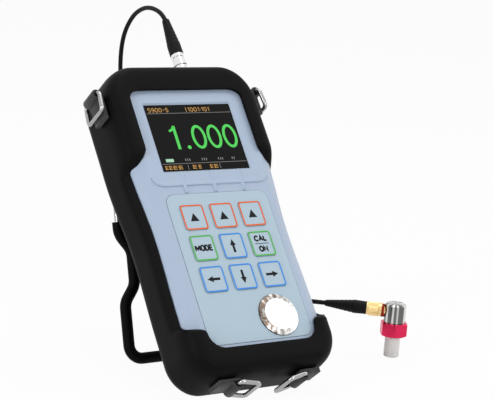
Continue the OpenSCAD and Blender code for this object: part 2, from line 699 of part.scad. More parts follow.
module probe_socket() color([0.78, 0.78, 0.8]) gauge() along_y(socket_x, socket_z) difference() {
    union() {
        rod(socket_r, case_length - socket_depth, case_length + boot_gap);
        rod(socket_r + socket_flange_w, case_length + film_gap, plug_low_y - fit_gap);
    }
    rod(socket_bore_r, case_length - socket_bore_depth, plug_low_y + overrun);
}
module socket_nut() color([0.72, 0.72, 0.74]) gauge() along_y(socket_x, socket_z) difference() {
    translate([0, 0, case_length - case_wall - fit_gap - socket_nut_h])
        cylinder(r = socket_r + socket_nut_w, h = socket_nut_h, $fn = 6);
    rod(socket_r + film_gap, 0, case_length);
}
module cable_plug() color([0.8, 0.8, 0.82]) gauge() along_y(socket_x, socket_z) {
    rod(socket_bore_r - film_gap, case_length - plug_pin_depth, plug_low_y + overrun);
    rod(plug_r, plug_low_y, plug_waist_y);
    rod(plug_r - plug_step, plug_waist_y - overrun, plug_top_y);
}
module plug_relief() color([0.06, 0.06, 0.06]) gauge() along_y(socket_x, socket_z)
    rotate_extrude() polygon([[0, plug_top_y], [plug_r - relief_step, plug_top_y],
        [plug_r - relief_step, plug_top_y + relief_shoulder],
        [cable_d / 2 + relief_wall, relief_top_y], [0, relief_top_y]]);

// Free cable: hand-placed points in the shared frame, with its coil behind the gauge
relief_end = [gauge_x + socket_x,
    gauge_y + relief_top_y * sin(lean) - socket_z * cos(lean),
    lift + relief_top_y * cos(lean) + socket_z * sin(lean)];
upper_route = [[-16.7, 79.6, 162], [-16.7, 82.5, 164.4], [-16.7, 86.5, 166], [-16.7, 91.5, 166.5],
    [-16.7, 97.5, 166], [-16.7, 104.5, 164], [-16.7, 110.5, 160.8], [-16.7, 115.5, 156.4],
    [-16.7, 119.5, 151], [-16.7, 122, 145], [-16.6, 123.3, 138], [-16.4, 123.3, 129],
    [-15.5, 122.5, 117], [-13.5, 120.5, 101], [-10, 117.5, 84], [-6, 114, 67], [-1, 110, 49],
    [5, 105.5, 31], [12, 100.5, 16], [20, 95.5, 6.5], [31, 88.5, 2], [43.3, 79.8, 1.2]];
lower_route = [[48.8, 66.5, 3.6], [48.6, 59.5, 2.8], [47, 52, 2.2], [43.5, 44.5, 3.8],
    [39.5, 36.5, 8.5], [36.2, 28, 15], [35.5, 19.5, 20.6], [39, 12, 23.3]];
coil_x = 30;
coil_y = 66.5;
coil_r = 14;
coil_turns_across = 5;
coil_layers = 2;
cable_sides = 8;
cable_steps = 2;
cable_side = [1, 0.2, 0.1];

function knot(p, i) = p[min(len(p) - 1, max(0, i))];
function spline(a, b, c, d, t) = (2 * b + (c - a) * t + (2 * a - 5 * b + 4 * c - d) * t * t
    + (3 * b - a - 3 * c + d) * t * t * t) / 2;
function smooth(p, n) = concat([for (i = [0:len(p) - 2]) for (s = [0:n - 1])
    spline(knot(p, i - 1), p[i], p[i + 1], knot(p, i + 2), s / n)], [p[len(p) - 1]]);
function unit(v) = v / norm(v);
function square_to(v, t) = unit(v - (v * t) * t);
module tube(route) {
    path = smooth(route, cable_steps);
    last = len(path) - 1;
    heading = [for (i = [0:last]) unit(path[min(last, i + 1)] - path[max(0, i - 1)])];
    loft([for (i = [0:last]) let (side = square_to(cable_side, heading[i]),
            up = cross(heading[i], side))
        [for (k = [0:cable_sides - 1]) let (a = 360 * k / cable_sides)
            path[i] + cable_d / 2 * (cos(a) * side + sin(a) * up)]]);
}
module cable_upper() color([0.05, 0.05, 0.05]) tube(concat([relief_end], upper_route));
module cable_coil() color([0.05, 0.05, 0.05]) translate([coil_x, coil_y, 0]) {
    half = coil_turns_across * cable_d / 2;
    tall = coil_layers * cable_d;
    rotate_extrude() polygon([[coil_r - half, cable_d / 2], [coil_r - half + cable_d / 2, 0],
        [coil_r + half - cable_d / 2, 0], [coil_r + half, cable_d / 2],
        [coil_r + half, tall - cable_d / 2], [coil_r + half - cable_d / 2, tall],
        [coil_r - half + cable_d / 2, tall], [coil_r - half, tall - cable_d / 2]]);
}
module cable_lower() color([0.05, 0.05, 0.05]) tube(concat(lower_route, [lead_point(relief_back)]));

// Probe: delay tip, nut, steel body with its element, and the connector at its side
probe_x = 72.6;
probe_y = -21.2;
lead_angle = 136;
flange_t = 1.5;
nut_floor = 1.2;
neck_step = 0.6;
neck_gap = 0.1;
probe_wall = 1.5;
lead_rise = 0.6;
neck_r = probe_r - neck_step;
nut_bore_r = neck_r + neck_gap;
probe_bore_r = neck_r - probe_wall;
backing_r = probe_bore_r - neck_gap;
element_t = 0.6;
backing_h = 9;
seat_z = tip_h + nut_floor + flange_t;
nut_top = tip_h + nut_h;
probe_top = nut_top + fit_gap + probe_h;
lead_z = nut_top + probe_h / 2 + lead_rise;
jack_r = 2.4;
jack_length = 8.7;
seal_t = 1.2;
seal_step = 0.3;
coax_nut_r = 3.7;
coax_nut_h = 8;
lead_relief_h = 21.7;
lead_relief_neck = 6.5;
lead_relief_step = 0.2;
jack_start = probe_bore_r + relief_wall;
jack_end = jack_start + jack_length;
seal_start = probe_r + neck_gap;
seal_end = seal_start + seal_t;
coax_nut_end = seal_end + coax_nut_h;
relief_back = coax_nut_end + lead_relief_h;
probe_chamfer = 0.8;
hex_turn = 22;
function lead_point(d) = [probe_x + d * cos(lead_angle), probe_y + d * sin(lead_angle), lead_z];
module probe() {
    translate([probe_x, probe_y, 0]) children();
}
module lead() {
    translate([probe_x, probe_y, lead_z]) rotate([0, 90, lead_angle]) children();
}
module delay_tip() color([0.85, 0.83, 0.8, 0.8]) probe() {
    rod(tip_r, 0, tip_h + nut_floor);
    rod(neck_r, tip_h + nut_floor, seat_z);
}
module retaining_nut() color([0.78, 0.1, 0.27]) probe() difference() {
    rotate([0, 0, hex_turn]) translate([0, 0, tip_h])
        cylinder(r = nut_flats / 2 / cos(30), h = nut_h, $fn = 6);
    rod(tip_r + film_gap, 0, tip_h + nut_floor + overrun);
    rod(nut_bore_r, tip_h + nut_floor, nut_top + overrun);
}
module probe_body() color([0.75, 0.76, 0.77]) difference() {
    probe() difference() {
        rotate_extrude() polygon([[0, seat_z], [neck_r, seat_z], [neck_r, nut_top + fit_gap],
            [probe_r, nut_top + fit_gap], [probe_r, probe_top - probe_chamfer],
            [probe_r - probe_chamfer, probe_top], [0, probe_top]]);
        rod(probe_bore_r, seat_z - overrun, seat_z + element_t + backing_h + fit_gap);
    }
    lead() rod(jack_r + film_gap, jack_start - fit_gap, probe_r + overrun);
}
module piezo_element() color([0.8, 0.75, 0.6]) probe() rod(backing_r, seat_z, seat_z + element_t);
module probe_backing() color([0.3, 0.3, 0.32]) probe()
    rod(backing_r, seat_z + element_t, seat_z + element_t + backing_h);
module coax_jack() color([0.85, 0.65, 0.3]) lead() rod(jack_r, jack_start, jack_end);
module coax_seal() color([0.65, 0.2, 0.12]) lead() difference() {
    rod(coax_nut_r - seal_step, seal_start, seal_end);
    rod(jack_r + film_gap, 0, relief_back);
}
module coax_nut() color([0.85, 0.65, 0.3]) lead() difference() {
    rod(coax_nut_r, seal_end, coax_nut_end);
    rod(jack_r + film_gap, seal_end - overrun, jack_end + fit_gap);
}
module probe_relief() color([0.06, 0.06, 0.06]) lead() rotate_extrude() polygon([
    [0, coax_nut_end], [coax_nut_r - 2 * lead_relief_step, coax_nut_end],
    [coax_nut_r - lead_relief_step, coax_nut_end + lead_relief_neck],
    [cable_d / 2 + relief_wall, relief_back], [0, relief_back]]);

front_case();
rear_case();
battery_door();
battery_cells();
battery_contacts();
case_screws();
main_board();
lcd_module();
display_gasket();
display_lens();
keypad_overlay();
keypad_circuit();
dome_switches();
key(-1, -1, "orangered");  // soft_key_left
key(0, -1, "orangered");  // soft_key_middle
key(1, -1, "orangered");  // soft_key_right
key(-1, 0, "limegreen");  // mode_key
key(0, 0, "dodgerblue");  // up_key
key(1, 0, "limegreen");  // cal_key
key(-1, 1, "dodgerblue");  // left_key
key(0, 1, "dodgerblue");  // down_key
key(1, 1, "dodgerblue");  // right_key
reference_disc();
rubber_boot();
bail_wire();
bail_sleeve();
bail_bracket();
bracket_screws();
webbing_at_top(0);  // webbing_top_left
webbing_at_top(1);  // webbing_top_right
webbing_at_bottom(1);  // webbing_bottom_left
webbing_at_bottom(0);  // webbing_bottom_right
ring_at_top(0);  // ring_top_left
ring_at_top(1);  // ring_top_right
ring_at_bottom(1);  // ring_bottom_left
ring_at_bottom(0);  // ring_bottom_right
probe_socket();
socket_nut();
cable_plug();
plug_relief();
cable_upper();
cable_coil();
cable_lower();
probe_relief();
coax_nut();
coax_seal();
coax_jack();
probe_body();
piezo_element();
probe_backing();
retaining_nut();
delay_tip();
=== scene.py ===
"""Looks of a handheld ultrasonic thickness gauge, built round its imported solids.

The gauge leans back on its wire stand, in a black rubber boot with webbing lugs. A thin
cable runs from its top end to a small probe that stands beside it.
"""

from __future__ import annotations

import logging
import math
from dataclasses import dataclass, field, replace
from enum import Enum, IntEnum
from typing import Iterable, Mapping, Sequence

import bpy
from mathutils import Matrix, Vector


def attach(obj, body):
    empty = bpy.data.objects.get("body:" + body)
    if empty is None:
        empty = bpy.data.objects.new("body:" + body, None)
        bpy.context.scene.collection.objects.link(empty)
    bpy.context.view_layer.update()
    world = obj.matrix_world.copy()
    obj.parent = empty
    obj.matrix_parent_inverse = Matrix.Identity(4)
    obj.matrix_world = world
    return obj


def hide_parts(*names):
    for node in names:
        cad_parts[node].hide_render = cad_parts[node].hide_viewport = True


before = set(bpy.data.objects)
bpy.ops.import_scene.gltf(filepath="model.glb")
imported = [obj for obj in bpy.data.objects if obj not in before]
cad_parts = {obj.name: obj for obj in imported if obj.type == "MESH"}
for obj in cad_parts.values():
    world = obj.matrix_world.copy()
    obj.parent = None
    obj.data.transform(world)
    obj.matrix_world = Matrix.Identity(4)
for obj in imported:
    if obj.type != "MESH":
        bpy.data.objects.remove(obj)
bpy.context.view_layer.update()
log = logging.getLogger("gauge")

Point = tuple[float, float, float]
Pair = tuple[float, float]
Colour = tuple[float, float, float, float]
MM = 0.001
LEAN = 40.0
GAUGE_PLACE = (-30.0, -58.5, 19.456587)
WORLD_MM = Matrix.Scale(MM, 4)


def gauge_frame() -> Matrix:
    """Millimetres in the gauge's own frame to the scene: x right, y up the case, z out of its front."""
    place = Matrix.Translation(Vector(GAUGE_PLACE) * MM)
    return place @ Matrix.Rotation(math.radians(90 - LEAN), 4, "X") @ WORLD_MM


GAUGE = gauge_frame()


def linear(value: float) -> float:
    """One channel as seen, 0 to 255, in the renderer's linear values."""
    v = value / 255
    return v / 12.92 if v <= 0.04045 else ((v + 0.055) / 1.055) ** 2.4


def srgb(red: float, green: float, blue: float) -> Colour:
    """A colour as seen, 0 to 255 a channel, in the renderer's linear values."""
    return linear(red), linear(green), linear(blue), 1.0


def toned(colour: Colour, share: float) -> Colour:
    """A colour made darker or lighter by that share."""
    return colour[0] * share, colour[1] * share, colour[2] * share, 1.0


def clamp(value: float, low: float = 0.0, high: float = 1.0) -> float:
    """The value held between two limits."""
    return max(low, min(high, value))


def spread(start: float, end: float, count: int, first: bool = False) -> list[float]:
    """Evenly spaced values up to end, without start unless first is true."""
    return [start + (end - start) * i / count for i in range(0 if first else 1, count + 1)]


def spline(points: Sequence[Sequence[float]], steps: int) -> list[tuple[float, ...]]:
    """A smooth line through points of any size.

    Args:
        points: The points that the line goes through.
        steps: Pieces between two neighbouring points.

    Returns:
        The points of the smooth line, both ends included.
    """
    last = len(points) - 1
    out: list[tuple[float, ...]] = []
    for i in range(last):
        a, b, c, d = (points[max(0, min(last, k))] for k in (i - 1, i, i + 1, i + 2))
        for s in range(steps):
            t = s / steps
            out.append(tuple(
                (2 * q + (r - p) * t + (2 * p - 5 * q + 4 * r - w) * t * t
                 + (3 * q - p - 3 * r + w) * t ** 3) / 2
                for p, q, r, w in zip(a, b, c, d)))
    out.append(tuple(points[last]))
    return out


# ---------------------------------------------------------------- shader nodes


class Wire:
    """A shader socket that adds Math nodes when it is used in an expression."""

    def __init__(self, tree: bpy.types.NodeTree, socket: bpy.types.NodeSocket) -> None:
        """Keeps the socket and the tree it belongs to."""
        self.tree = tree
        self.socket = socket

    def _math(self, operation: str, *values: "Wire | float") -> "Wire":
        """Adds one Math node over the given values."""
        made = self.tree.nodes.new("ShaderNodeMath")
        made.operation = operation
        for slot, value in zip(made.inputs, values):
            feed(self.tree, slot, value)
        return Wire(self.tree, made.outputs[0])

    def __add__(self, other: "Wire | float") -> "Wire":
        """Sum."""
        return self._math("ADD", self, other)

    __radd__ = __add__

    def __sub__(self, other: "Wire | float") -> "Wire":
        """Difference."""
        return self._math("SUBTRACT", self, other)

    def __rsub__(self, other: "Wire | float") -> "Wire":
        """Difference from a number."""
        return self._math("SUBTRACT", other, self)

    def __mul__(self, other: "Wire | float") -> "Wire":
        """Product."""
        return self._math("MULTIPLY", self, other)

    __rmul__ = __mul__

    def __truediv__(self, other: "Wire | float") -> "Wire":
        """Quotient."""
        return self._math("DIVIDE", self, other)

    def sine(self) -> "Wire":
        """Sine of an angle in radians."""
        return self._math("SINE", self)

    def below(self, limit: "Wire | float") -> "Wire":
        """1 where the value is under the limit."""
        return self._math("LESS_THAN", self, limit)

    def least(self, other: "Wire | float") -> "Wire":
        """The smaller of two values."""
        return self._math("MINIMUM", self, other)

    def most(self, other: "Wire | float") -> "Wire":
        """The larger of two values."""
        return self._math("MAXIMUM", self, other)

    def held(self) -> "Wire":
        """The value held between 0 and 1."""
        return self.most(0.0).least(1.0)

    def swing(self) -> "Wire":
        """Sine of an angle, brought to 0 to 1."""
        return self.sine() * 0.5 + 0.5

    def wave(self, pitch: float) -> "Wire":
        """A wave of 0 to 1 that comes back every pitch."""
        return (self * (2 * math.pi / pitch)).swing()

    def root(self) -> "Wire":
        """Square root."""
        return self._math("SQRT", self)

    def angle(self, other: "Wire") -> "Wire":
        """Angle of the point (other, self), in radians."""
        return self._math("ARCTAN2", self, other)


def feed(tree: bpy.types.NodeTree, socket: bpy.types.NodeSocket, value: object) -> None:
    """Links a wire to a socket, or sets the socket's own value."""
    if isinstance(value, Wire):
        tree.links.new(value.socket, socket)
    else:
        socket.default_value = value


class Nodes:
    """A tree of shader nodes."""

    def __init__(self, tree: bpy.types.NodeTree) -> None:
        """Keeps the tree."""
        self.tree = tree

    def add(self, kind: str, settings: Mapping[str, object] | None = None,
            values: Mapping[str | int, object] | None = None) -> bpy.types.Node:
        """Adds any node.

        Args:
            kind: The node's type name.
            settings: Its own settings, set first.
            values: Values or wires for its sockets, by name or number.

        Returns:
            The node.
        """
        made = self.tree.nodes.new(kind)
        for key, value in (settings or {}).items():
            setattr(made, key, value)
        for key, value in (values or {}).items():
            feed(self.tree, made.inputs[key], value)
        return made

    def node(self, kind: str, settings: Mapping[str, object] | None = None,
             values: Mapping[str | int, object] | None = None, output: str | int = 0) -> Wire:
        """Adds any node and takes one of its outputs.

        Args:
            kind: The node's type name.
            settings: Its own settings.
            values: Values or wires for its sockets.
            output: The socket that the wire is taken from.

        Returns:
            The wire of that output.
        """
        return Wire(self.tree, self.add(kind, settings, values).outputs[output])

    def shown(self) -> Wire:
        """1 for what is seen straight, in a mirror or through glass, and 0 for plain light."""
        path = self.add("ShaderNodeLightPath")
        straight, mirror, glass = (Wire(self.tree, path.outputs[name])
                                   for name in ("Is Camera Ray", "Is Glossy Ray", "Is Transmission Ray"))
        return straight.most(mirror).most(glass)


class Shade(Nodes):
    """One material and the nodes behind its Principled shader."""

    def __init__(self, name: str) -> None:
        """Makes an empty material of that name."""
        self.material = bpy.data.materials.new(name)
        self.material.use_nodes = True
        super().__init__(self.material.node_tree)
        self.surface = self.tree.nodes["Principled BSDF"]

    def put(self, **values: object) -> "Shade":
        """Feeds the Principled shader; underscores in the names stand for spaces."""
        for key, value in values.items():
            feed(self.tree, self.surface.inputs[key.replace("_", " ")], value)
        return self

    def spot(self, place: Matrix = WORLD_MM) -> Wire:
        """The point on the piece, in millimetres of the given frame."""
        raw = self.node("ShaderNodeTexCoord", output="Object")
        where, turn, size = place.decompose()
        return self.node("ShaderNodeMapping", {"vector_type": "TEXTURE"}, {
            "Vector": raw, "Location": where, "Rotation": turn.to_euler(), "Scale": size})

    def parts(self, vector: Wire) -> tuple[Wire, Wire, Wire]:
        """The three numbers of a vector."""
        made = self.add("ShaderNodeSeparateXYZ", {}, {0: vector})
        return tuple(Wire(self.tree, o) for o in made.outputs)

    def pair(self, x: Wire, y: Wire) -> Wire:
        """A flat vector of two numbers."""
        return self.node("ShaderNodeCombineXYZ", {}, {0: x, 1: y})

    def noise(self, vector: Wire, size: float, detail: float = 2.0, stretch: Point = (1.0, 1.0, 1.0)) -> Wire:
        """Soft noise whose grains are about size millimetres across."""
        scaled = self.node("ShaderNodeVectorMath", {"operation": "MULTIPLY"},
                           {0: vector, 1: tuple(s / size for s in stretch)})
        return self.node("ShaderNodeTexNoise", {}, {"Vector": scaled, "Scale": 1.0, "Detail": detail})

    def blend(self, share: Wire | float, low: object, high: object) -> Wire:
        """Mixes two colours."""
        return self.node("ShaderNodeMix", {"data_type": "RGBA"}, {0: share, 6: low, 7: high}, 2)

    def bump(self, height: Wire, depth: float, strength: float = 1.0) -> Wire:
        """A normal from a height of 0 to 1 that stands for depth millimetres."""
        values = {"Height": height, "Distance": depth * MM, "Strength": strength}
        return self.node("ShaderNodeBump", {}, values)


# ---------------------------------------------------------------- finishes


@dataclass(frozen=True)
class Finish:
    """A finish that can dress a piece."""

    name: str

    def make(self) -> bpy.types.Material:
        """The material, made once and kept."""
        found = bpy.data.materials.get(self.name)
        return found or self.paint(Shade(self.name)).material

    def paint(self, shade: Shade) -> Shade:
        """Wires the shader of this finish."""
        return shade


@dataclass(frozen=True)
class MouldedPlastic(Finish):
    """Painted or moulded plastic with fine sparks of texture and a satin skin."""

    colour: Colour = (0.5, 0.5, 0.5, 1.0)
    roughness: float = 0.42
    grain: float = 0.25
    depth: float = 0.012
    coat: float = 0.12
    drift: float = 22.0

    def paint(self, shade: Shade) -> Shade:
        """Colour drifts a little, and the texture breaks up the shine."""
        at = shade.spot()
        cloud = shade.noise(at, self.drift, 3.0)
        grain = shade.noise(at, self.grain, 2.0)
        colour = shade.blend(cloud * 0.6 + grain * 0.25, self.colour, toned(self.colour, 0.93))
        rough = self.roughness + (grain - 0.5) * 0.14 + (cloud - 0.5) * 0.1
        return shade.put(Base_Color=colour, Roughness=rough, Coat_Weight=self.coat,
                         Coat_Roughness=0.28, Normal=shade.bump(grain, self.depth))


@dataclass(frozen=True)
class SoftRubber(Finish):
    """Black moulded rubber with a pebbled skin and a broad soft shine."""

    colour: Colour = (0.0028, 0.0028, 0.0031, 1.0)
    roughness: float = 0.52
    grain: float = 0.55
    depth: float = 0.03
    shine: float = 0.06
    wear: float = 26.0

    def paint(self, shade: Shade) -> Shade:
        """Fine pebbles, and handling marks and dust that lighten the black at random."""
        at = shade.spot()
        pebble = shade.node("ShaderNodeTexVoronoi", {"feature": "SMOOTH_F1"}, {
            "Vector": at, "Scale": 1.0 / self.grain, "Smoothness": 0.7})
        fine = shade.noise(at, self.grain * 0.4, 2.0)
        worn = shade.noise(at, self.wear, 4.0)
        colour = shade.blend((worn - 0.35) * 0.9 + fine * 0.12, self.colour, toned(self.colour, 1.9))
        rough = self.roughness + (worn - 0.5) * 0.22 + (fine - 0.5) * 0.08
        return shade.put(Base_Color=colour, Roughness=rough, Specular_IOR_Level=self.shine,
                         Normal=shade.bump(pebble * 0.7 + fine * 0.5, self.depth, 0.8))


@dataclass(frozen=True)
class Metal(Finish):
    """Plated, drawn or turned metal with fine lines along one direction of its frame."""

    colour: Colour = (0.75, 0.75, 0.76, 1.0)
    roughness: float = 0.2
    stretch: Point = (1.0, 1.0, 12.0)
    grain: float = 0.35
    depth: float = 0.004
    # Share of bright bands round the frame's z axis, and their tone: painted reflection in the base colour.
    painted_reflection_share: float = 0.0
    place: Matrix = field(default_factory=lambda: WORLD_MM.copy(), compare=False)
    painted_reflection_tone: Colour = (0.72, 0.72, 0.71, 1.0)
    tarnish: float = 7.0

    def paint(self, shade: Shade) -> Shade:
        """Fine machining lines, a little tarnish and, on the probe, bright bands of painted reflection round its
        axis.
        """
        at = shade.spot(self.place)
        lines = shade.noise(at, self.grain, 3.0, self.stretch)
        tarnish = shade.noise(at, self.tarnish, 3.0)
        colour = shade.blend((tarnish - 0.3) * 0.8, self.colour, toned(self.colour, 0.78))
        # Bright bands round the z axis: painted reflection, not a real finish of the metal.
        if self.painted_reflection_share:
            x, y, _ = shade.parts(at)
            reach = (x * x + y * y).root()
            band = shade.noise(shade.pair(x / reach, y / reach), 0.36, 0.0)
            colour = shade.blend(((band - 0.5) * 6.0 + self.painted_reflection_share).held(), colour, self.painted_reflection_tone)
        rough = self.roughness + (lines - 0.5) * 0.12 + (tarnish - 0.5) * 0.08
        return shade.put(Base_Color=colour, Metallic=1.0, Roughness=rough,
                         Normal=shade.bump(lines, self.depth))


@dataclass(frozen=True)
class SpunSteel(Finish):
    """Steel turned on a lathe: rings round the centre in its bump, with painted reflection rays across its face
    and painted shade on one side of its rim.
    """

    centre: Point = (0.0, 0.0, 0.0)
    colour: Colour = (0.96, 0.96, 0.95, 1.0)
    painted_ray_tone: Colour = srgb(168, 164, 160)
    painted_rim_shade_tone: Colour = srgb(104, 90, 80)
    pitch: float = 0.22
    painted_ray_share: float = 0.18
    face_radius: float = 7.9

    def paint(self, shade: Shade) -> Shade:
        """Turning rings, painted reflection rays across a bright face, and a rim with streaky painted shade on
        one side.
        """
        x, y, _ = shade.parts(shade.spot(GAUGE))
        x, y = x - self.centre[0], y - self.centre[1]
        reach, angle = (x * x + y * y).root(), y.angle(x)
        scratch = shade.noise(shade.pair(reach * 9.0, angle * 1.4), 1.0, 2.0)
        # Lighter and darker rays across the face by angle: painted reflection.
        face = shade.blend((angle * 2.0 + 0.7).swing() * self.painted_ray_share, self.colour, self.painted_ray_tone)
        streak = shade.noise(shade.pair(reach * 0.4, angle * 5.0), 1.0, 1.0)
        # The rim darkens on one side by angle, broken into streaks: painted shade and painted glints.
        dark = ((angle - 1.2).swing() * 1.1 + (streak - 0.5) * 2.2).held()
        rim = shade.blend(dark, self.colour, self.painted_rim_shade_tone)
        return shade.put(Base_Color=shade.blend(reach.below(self.face_radius), rim, face), Metallic=1.0,
                         Roughness=0.24 + scratch * 0.16,
                         Normal=shade.bump(reach.wave(self.pitch) * 0.4 + scratch * 0.6, 0.006))


@dataclass(frozen=True)
class PrintedFilm(Finish):
    """Matt keypad film over a stiff backing."""

    colour: Colour = (0.4, 0.5, 0.55, 1.0)
    grain: float = 0.16
    depth: float = 0.006
    drift: float = 30.0

    def paint(self, shade: Shade) -> Shade:
        """A fine even pebble with almost no shine."""
        at = shade.spot(GAUGE)
        pebble = shade.noise(at, self.grain, 1.0)
        cloud = shade.noise(at, self.drift, 2.0)
        colour = shade.blend(cloud * 0.7 + pebble * 0.2, self.colour, toned(self.colour, 0.95))
        return shade.put(Base_Color=colour, Roughness=0.5 + (pebble - 0.5) * 0.12,
                         Normal=shade.bump(pebble, self.depth))


@dataclass(frozen=True)
class Ink(Finish):
    """Printed ink, slightly uneven at its edges."""

    colour: Colour = (0.01, 0.01, 0.01, 1.0)
    roughness: float = 0.5
    grain: float = 0.3

    def paint(self, shade: Shade) -> Shade:
        """Flat ink whose cover varies a little."""
        cover = shade.noise(shade.spot(), self.grain, 2.0)
        thin = (*(min(1.0, c * 1.18 + 0.004) for c in self.colour[:3]), 1.0)
        return shade.put(Base_Color=shade.blend(cover * 0.5, self.colour, thin), Specular_IOR_Level=0.15,
                         Roughness=self.roughness + (cover - 0.5) * 0.1)


@dataclass(frozen=True)
class LitPixels(Finish):
    """Marks that the display lights, with its fine pixel grid."""

    colour: Colour = (0.1, 0.8, 0.1, 1.0)
    strength: float = 1.0
    pixel: float = 0.153

    def paint(self, shade: Shade) -> Shade:
        """The grid dims each mark between its pixels."""
        x, y, _ = shade.parts(shade.spot(GAUGE))
        grid = x.wave(self.pixel).least(y.wave(self.pixel))
        glow = shade.blend(grid, toned(self.colour, 0.78), self.colour)
        return shade.put(Base_Color=(0.01, 0.01, 0.01, 1.0), Roughness=0.3, Emission_Color=glow,
                         Emission_Strength=self.strength)


@dataclass(frozen=True)
class DarkGlass(Finish):
    """Clear window over an unlit black panel."""

    colour: Colour = srgb(15, 15, 15)
    dusty: Colour = srgb(21, 21, 20)
    grain: float = 1.4

    def paint(self, shade: Shade) -> Shade:
        """A deep glossy face with faint dust."""
        dust = shade.noise(shade.spot(GAUGE), self.grain, 3.0)
        return shade.put(Base_Color=shade.blend(dust * 0.5, self.colour, self.dusty),
                         Roughness=0.16 + (dust - 0.5) * 0.08, Specular_IOR_Level=0.1)


@dataclass(frozen=True)
class MilkyPlastic(Finish):
    """Translucent delay material: light goes in and scatters."""

    colour: Colour = (0.88, 0.86, 0.84, 1.0)
    cloud: float = 3.0
    grain: float = 0.3
    depth: float = 0.004

    def paint(self, shade: Shade) -> Shade:
        """A cloudy body under a turned skin."""
        at = shade.spot()
        cloud = shade.noise(at, self.cloud, 3.0)
        lines = shade.noise(at, self.grain, 2.0, (1.0, 1.0, 6.0))
        return shade.put(Base_Color=shade.blend(cloud, self.colour, toned(self.colour, 0.86)),
                         Roughness=0.28 + (lines - 0.5) * 0.1, Subsurface_Weight=0.35,
                         Subsurface_Radius=(1.0, 0.9, 0.85), Subsurface_Scale=0.003, Coat_Weight=0.3,
                         Normal=shade.bump(lines, self.depth))


@dataclass(frozen=True)
class WovenWebbing(Finish):
    """Black nylon webbing with ribs across it."""

    weft: float = 0.42
    warp: float = 0.55
    depth: float = 0.06
    low: Colour = srgb(18, 18, 19)
    high: Colour = srgb(52, 52, 54)

    def paint(self, shade: Shade) -> Shade:
        """Warp and weft over the modelled ribs."""
        x, y, z = shade.parts(shade.spot(GAUGE))
        weave = (x + y).wave(self.weft) * 0.5 + z.wave(self.warp) * 0.5
        return shade.put(Base_Color=shade.blend(weave, self.low, self.high), Sheen_Weight=0.25,
                         Roughness=0.82 - weave * 0.14, Normal=shade.bump(weave, self.depth))


CASE_BLUE = MouldedPlastic("case_plastic_blue", srgb(172, 188, 210), 0.4)
FILM_BLUE = PrintedFilm("keypad_film_blue", srgb(176, 197, 211))
BOOT_RUBBER = SoftRubber("boot_rubber_black")
SLEEVE_RUBBER = SoftRubber("sleeve_rubber_black", srgb(5, 5, 6), 0.56, 0.4, 0.02)
CABLE_SKIN = SoftRubber("cable_jacket_black", srgb(26, 26, 27), 0.4, 0.3, 0.008)
BLACK_PLASTIC = MouldedPlastic("bracket_plastic_black", srgb(28, 28, 30), 0.5, 0.3, 0.02, 0.0)
BRIGHT_WIRE = Metal("bright_steel_wire", (0.4, 0.39, 0.39, 1.0), 0.2)
NICKEL = Metal("nickel_plate", (0.19, 0.19, 0.2, 1.0), 0.24)
# The probe body's bright bands round its axis are painted reflection in its base colour.
TURNED_STEEL = Metal("turned_probe_steel", (0.15, 0.15, 0.145, 1.0), 0.24, (1.0, 1.0, 0.08), 0.3, 0.006, 0.4,
                     Matrix.Translation((0.0726, -0.0212, 0.0)) @ WORLD_MM)
GOLD = Metal("gold_plate", (0.56, 0.36, 0.16, 1.0), 0.22)
CRIMSON = Metal("crimson_anodised", (0.72, 0.03, 0.1, 1.0), 0.26, (1.0, 1.0, 6.0), 0.3, 0.01)
# The disc's rays and the darker side of its rim are painted reflection and painted shade.
DISC_STEEL = SpunSteel("spun_disc_steel", (12.6, 22.7, 0.0))
LENS = DarkGlass("display_window")
DELAY = MilkyPlastic("delay_tip_plastic")
WEBBING = WovenWebbing("webbing_nylon_black")
SEAL_RED = SoftRubber("seal_rubber_red", srgb(150, 44, 24), 0.4, 0.3, 0.006)
BLACK_INK = Ink("legend_ink_black", srgb(7, 8, 11))
SOLDER_GREEN = MouldedPlastic("board_green", srgb(24, 92, 54), 0.3, 0.4, 0.01, 0.3)
AMBER_FILM = MouldedPlastic("circuit_film_amber", srgb(190, 140, 60), 0.35, 0.4, 0.005, 0.2)
CELL_SLEEVE = MouldedPlastic("cell_sleeve", srgb(60, 66, 74), 0.3, 0.5, 0.004, 0.4)
CERAMIC = MouldedPlastic("element_ceramic", srgb(196, 186, 150), 0.5, 0.2, 0.006, 0.0)


class Tint(Enum):
    """Ink colours of the key outlines."""

    ORANGE = (230, 100, 24)
    GREEN = (84, 178, 72)
    BLUE = (60, 140, 225)

    def ink(self) -> Ink:
        """The ink of this outline."""
        return Ink("outline_ink_" + self.name.lower(), srgb(*self.value), 0.42)


# ---------------------------------------------------------------- forms


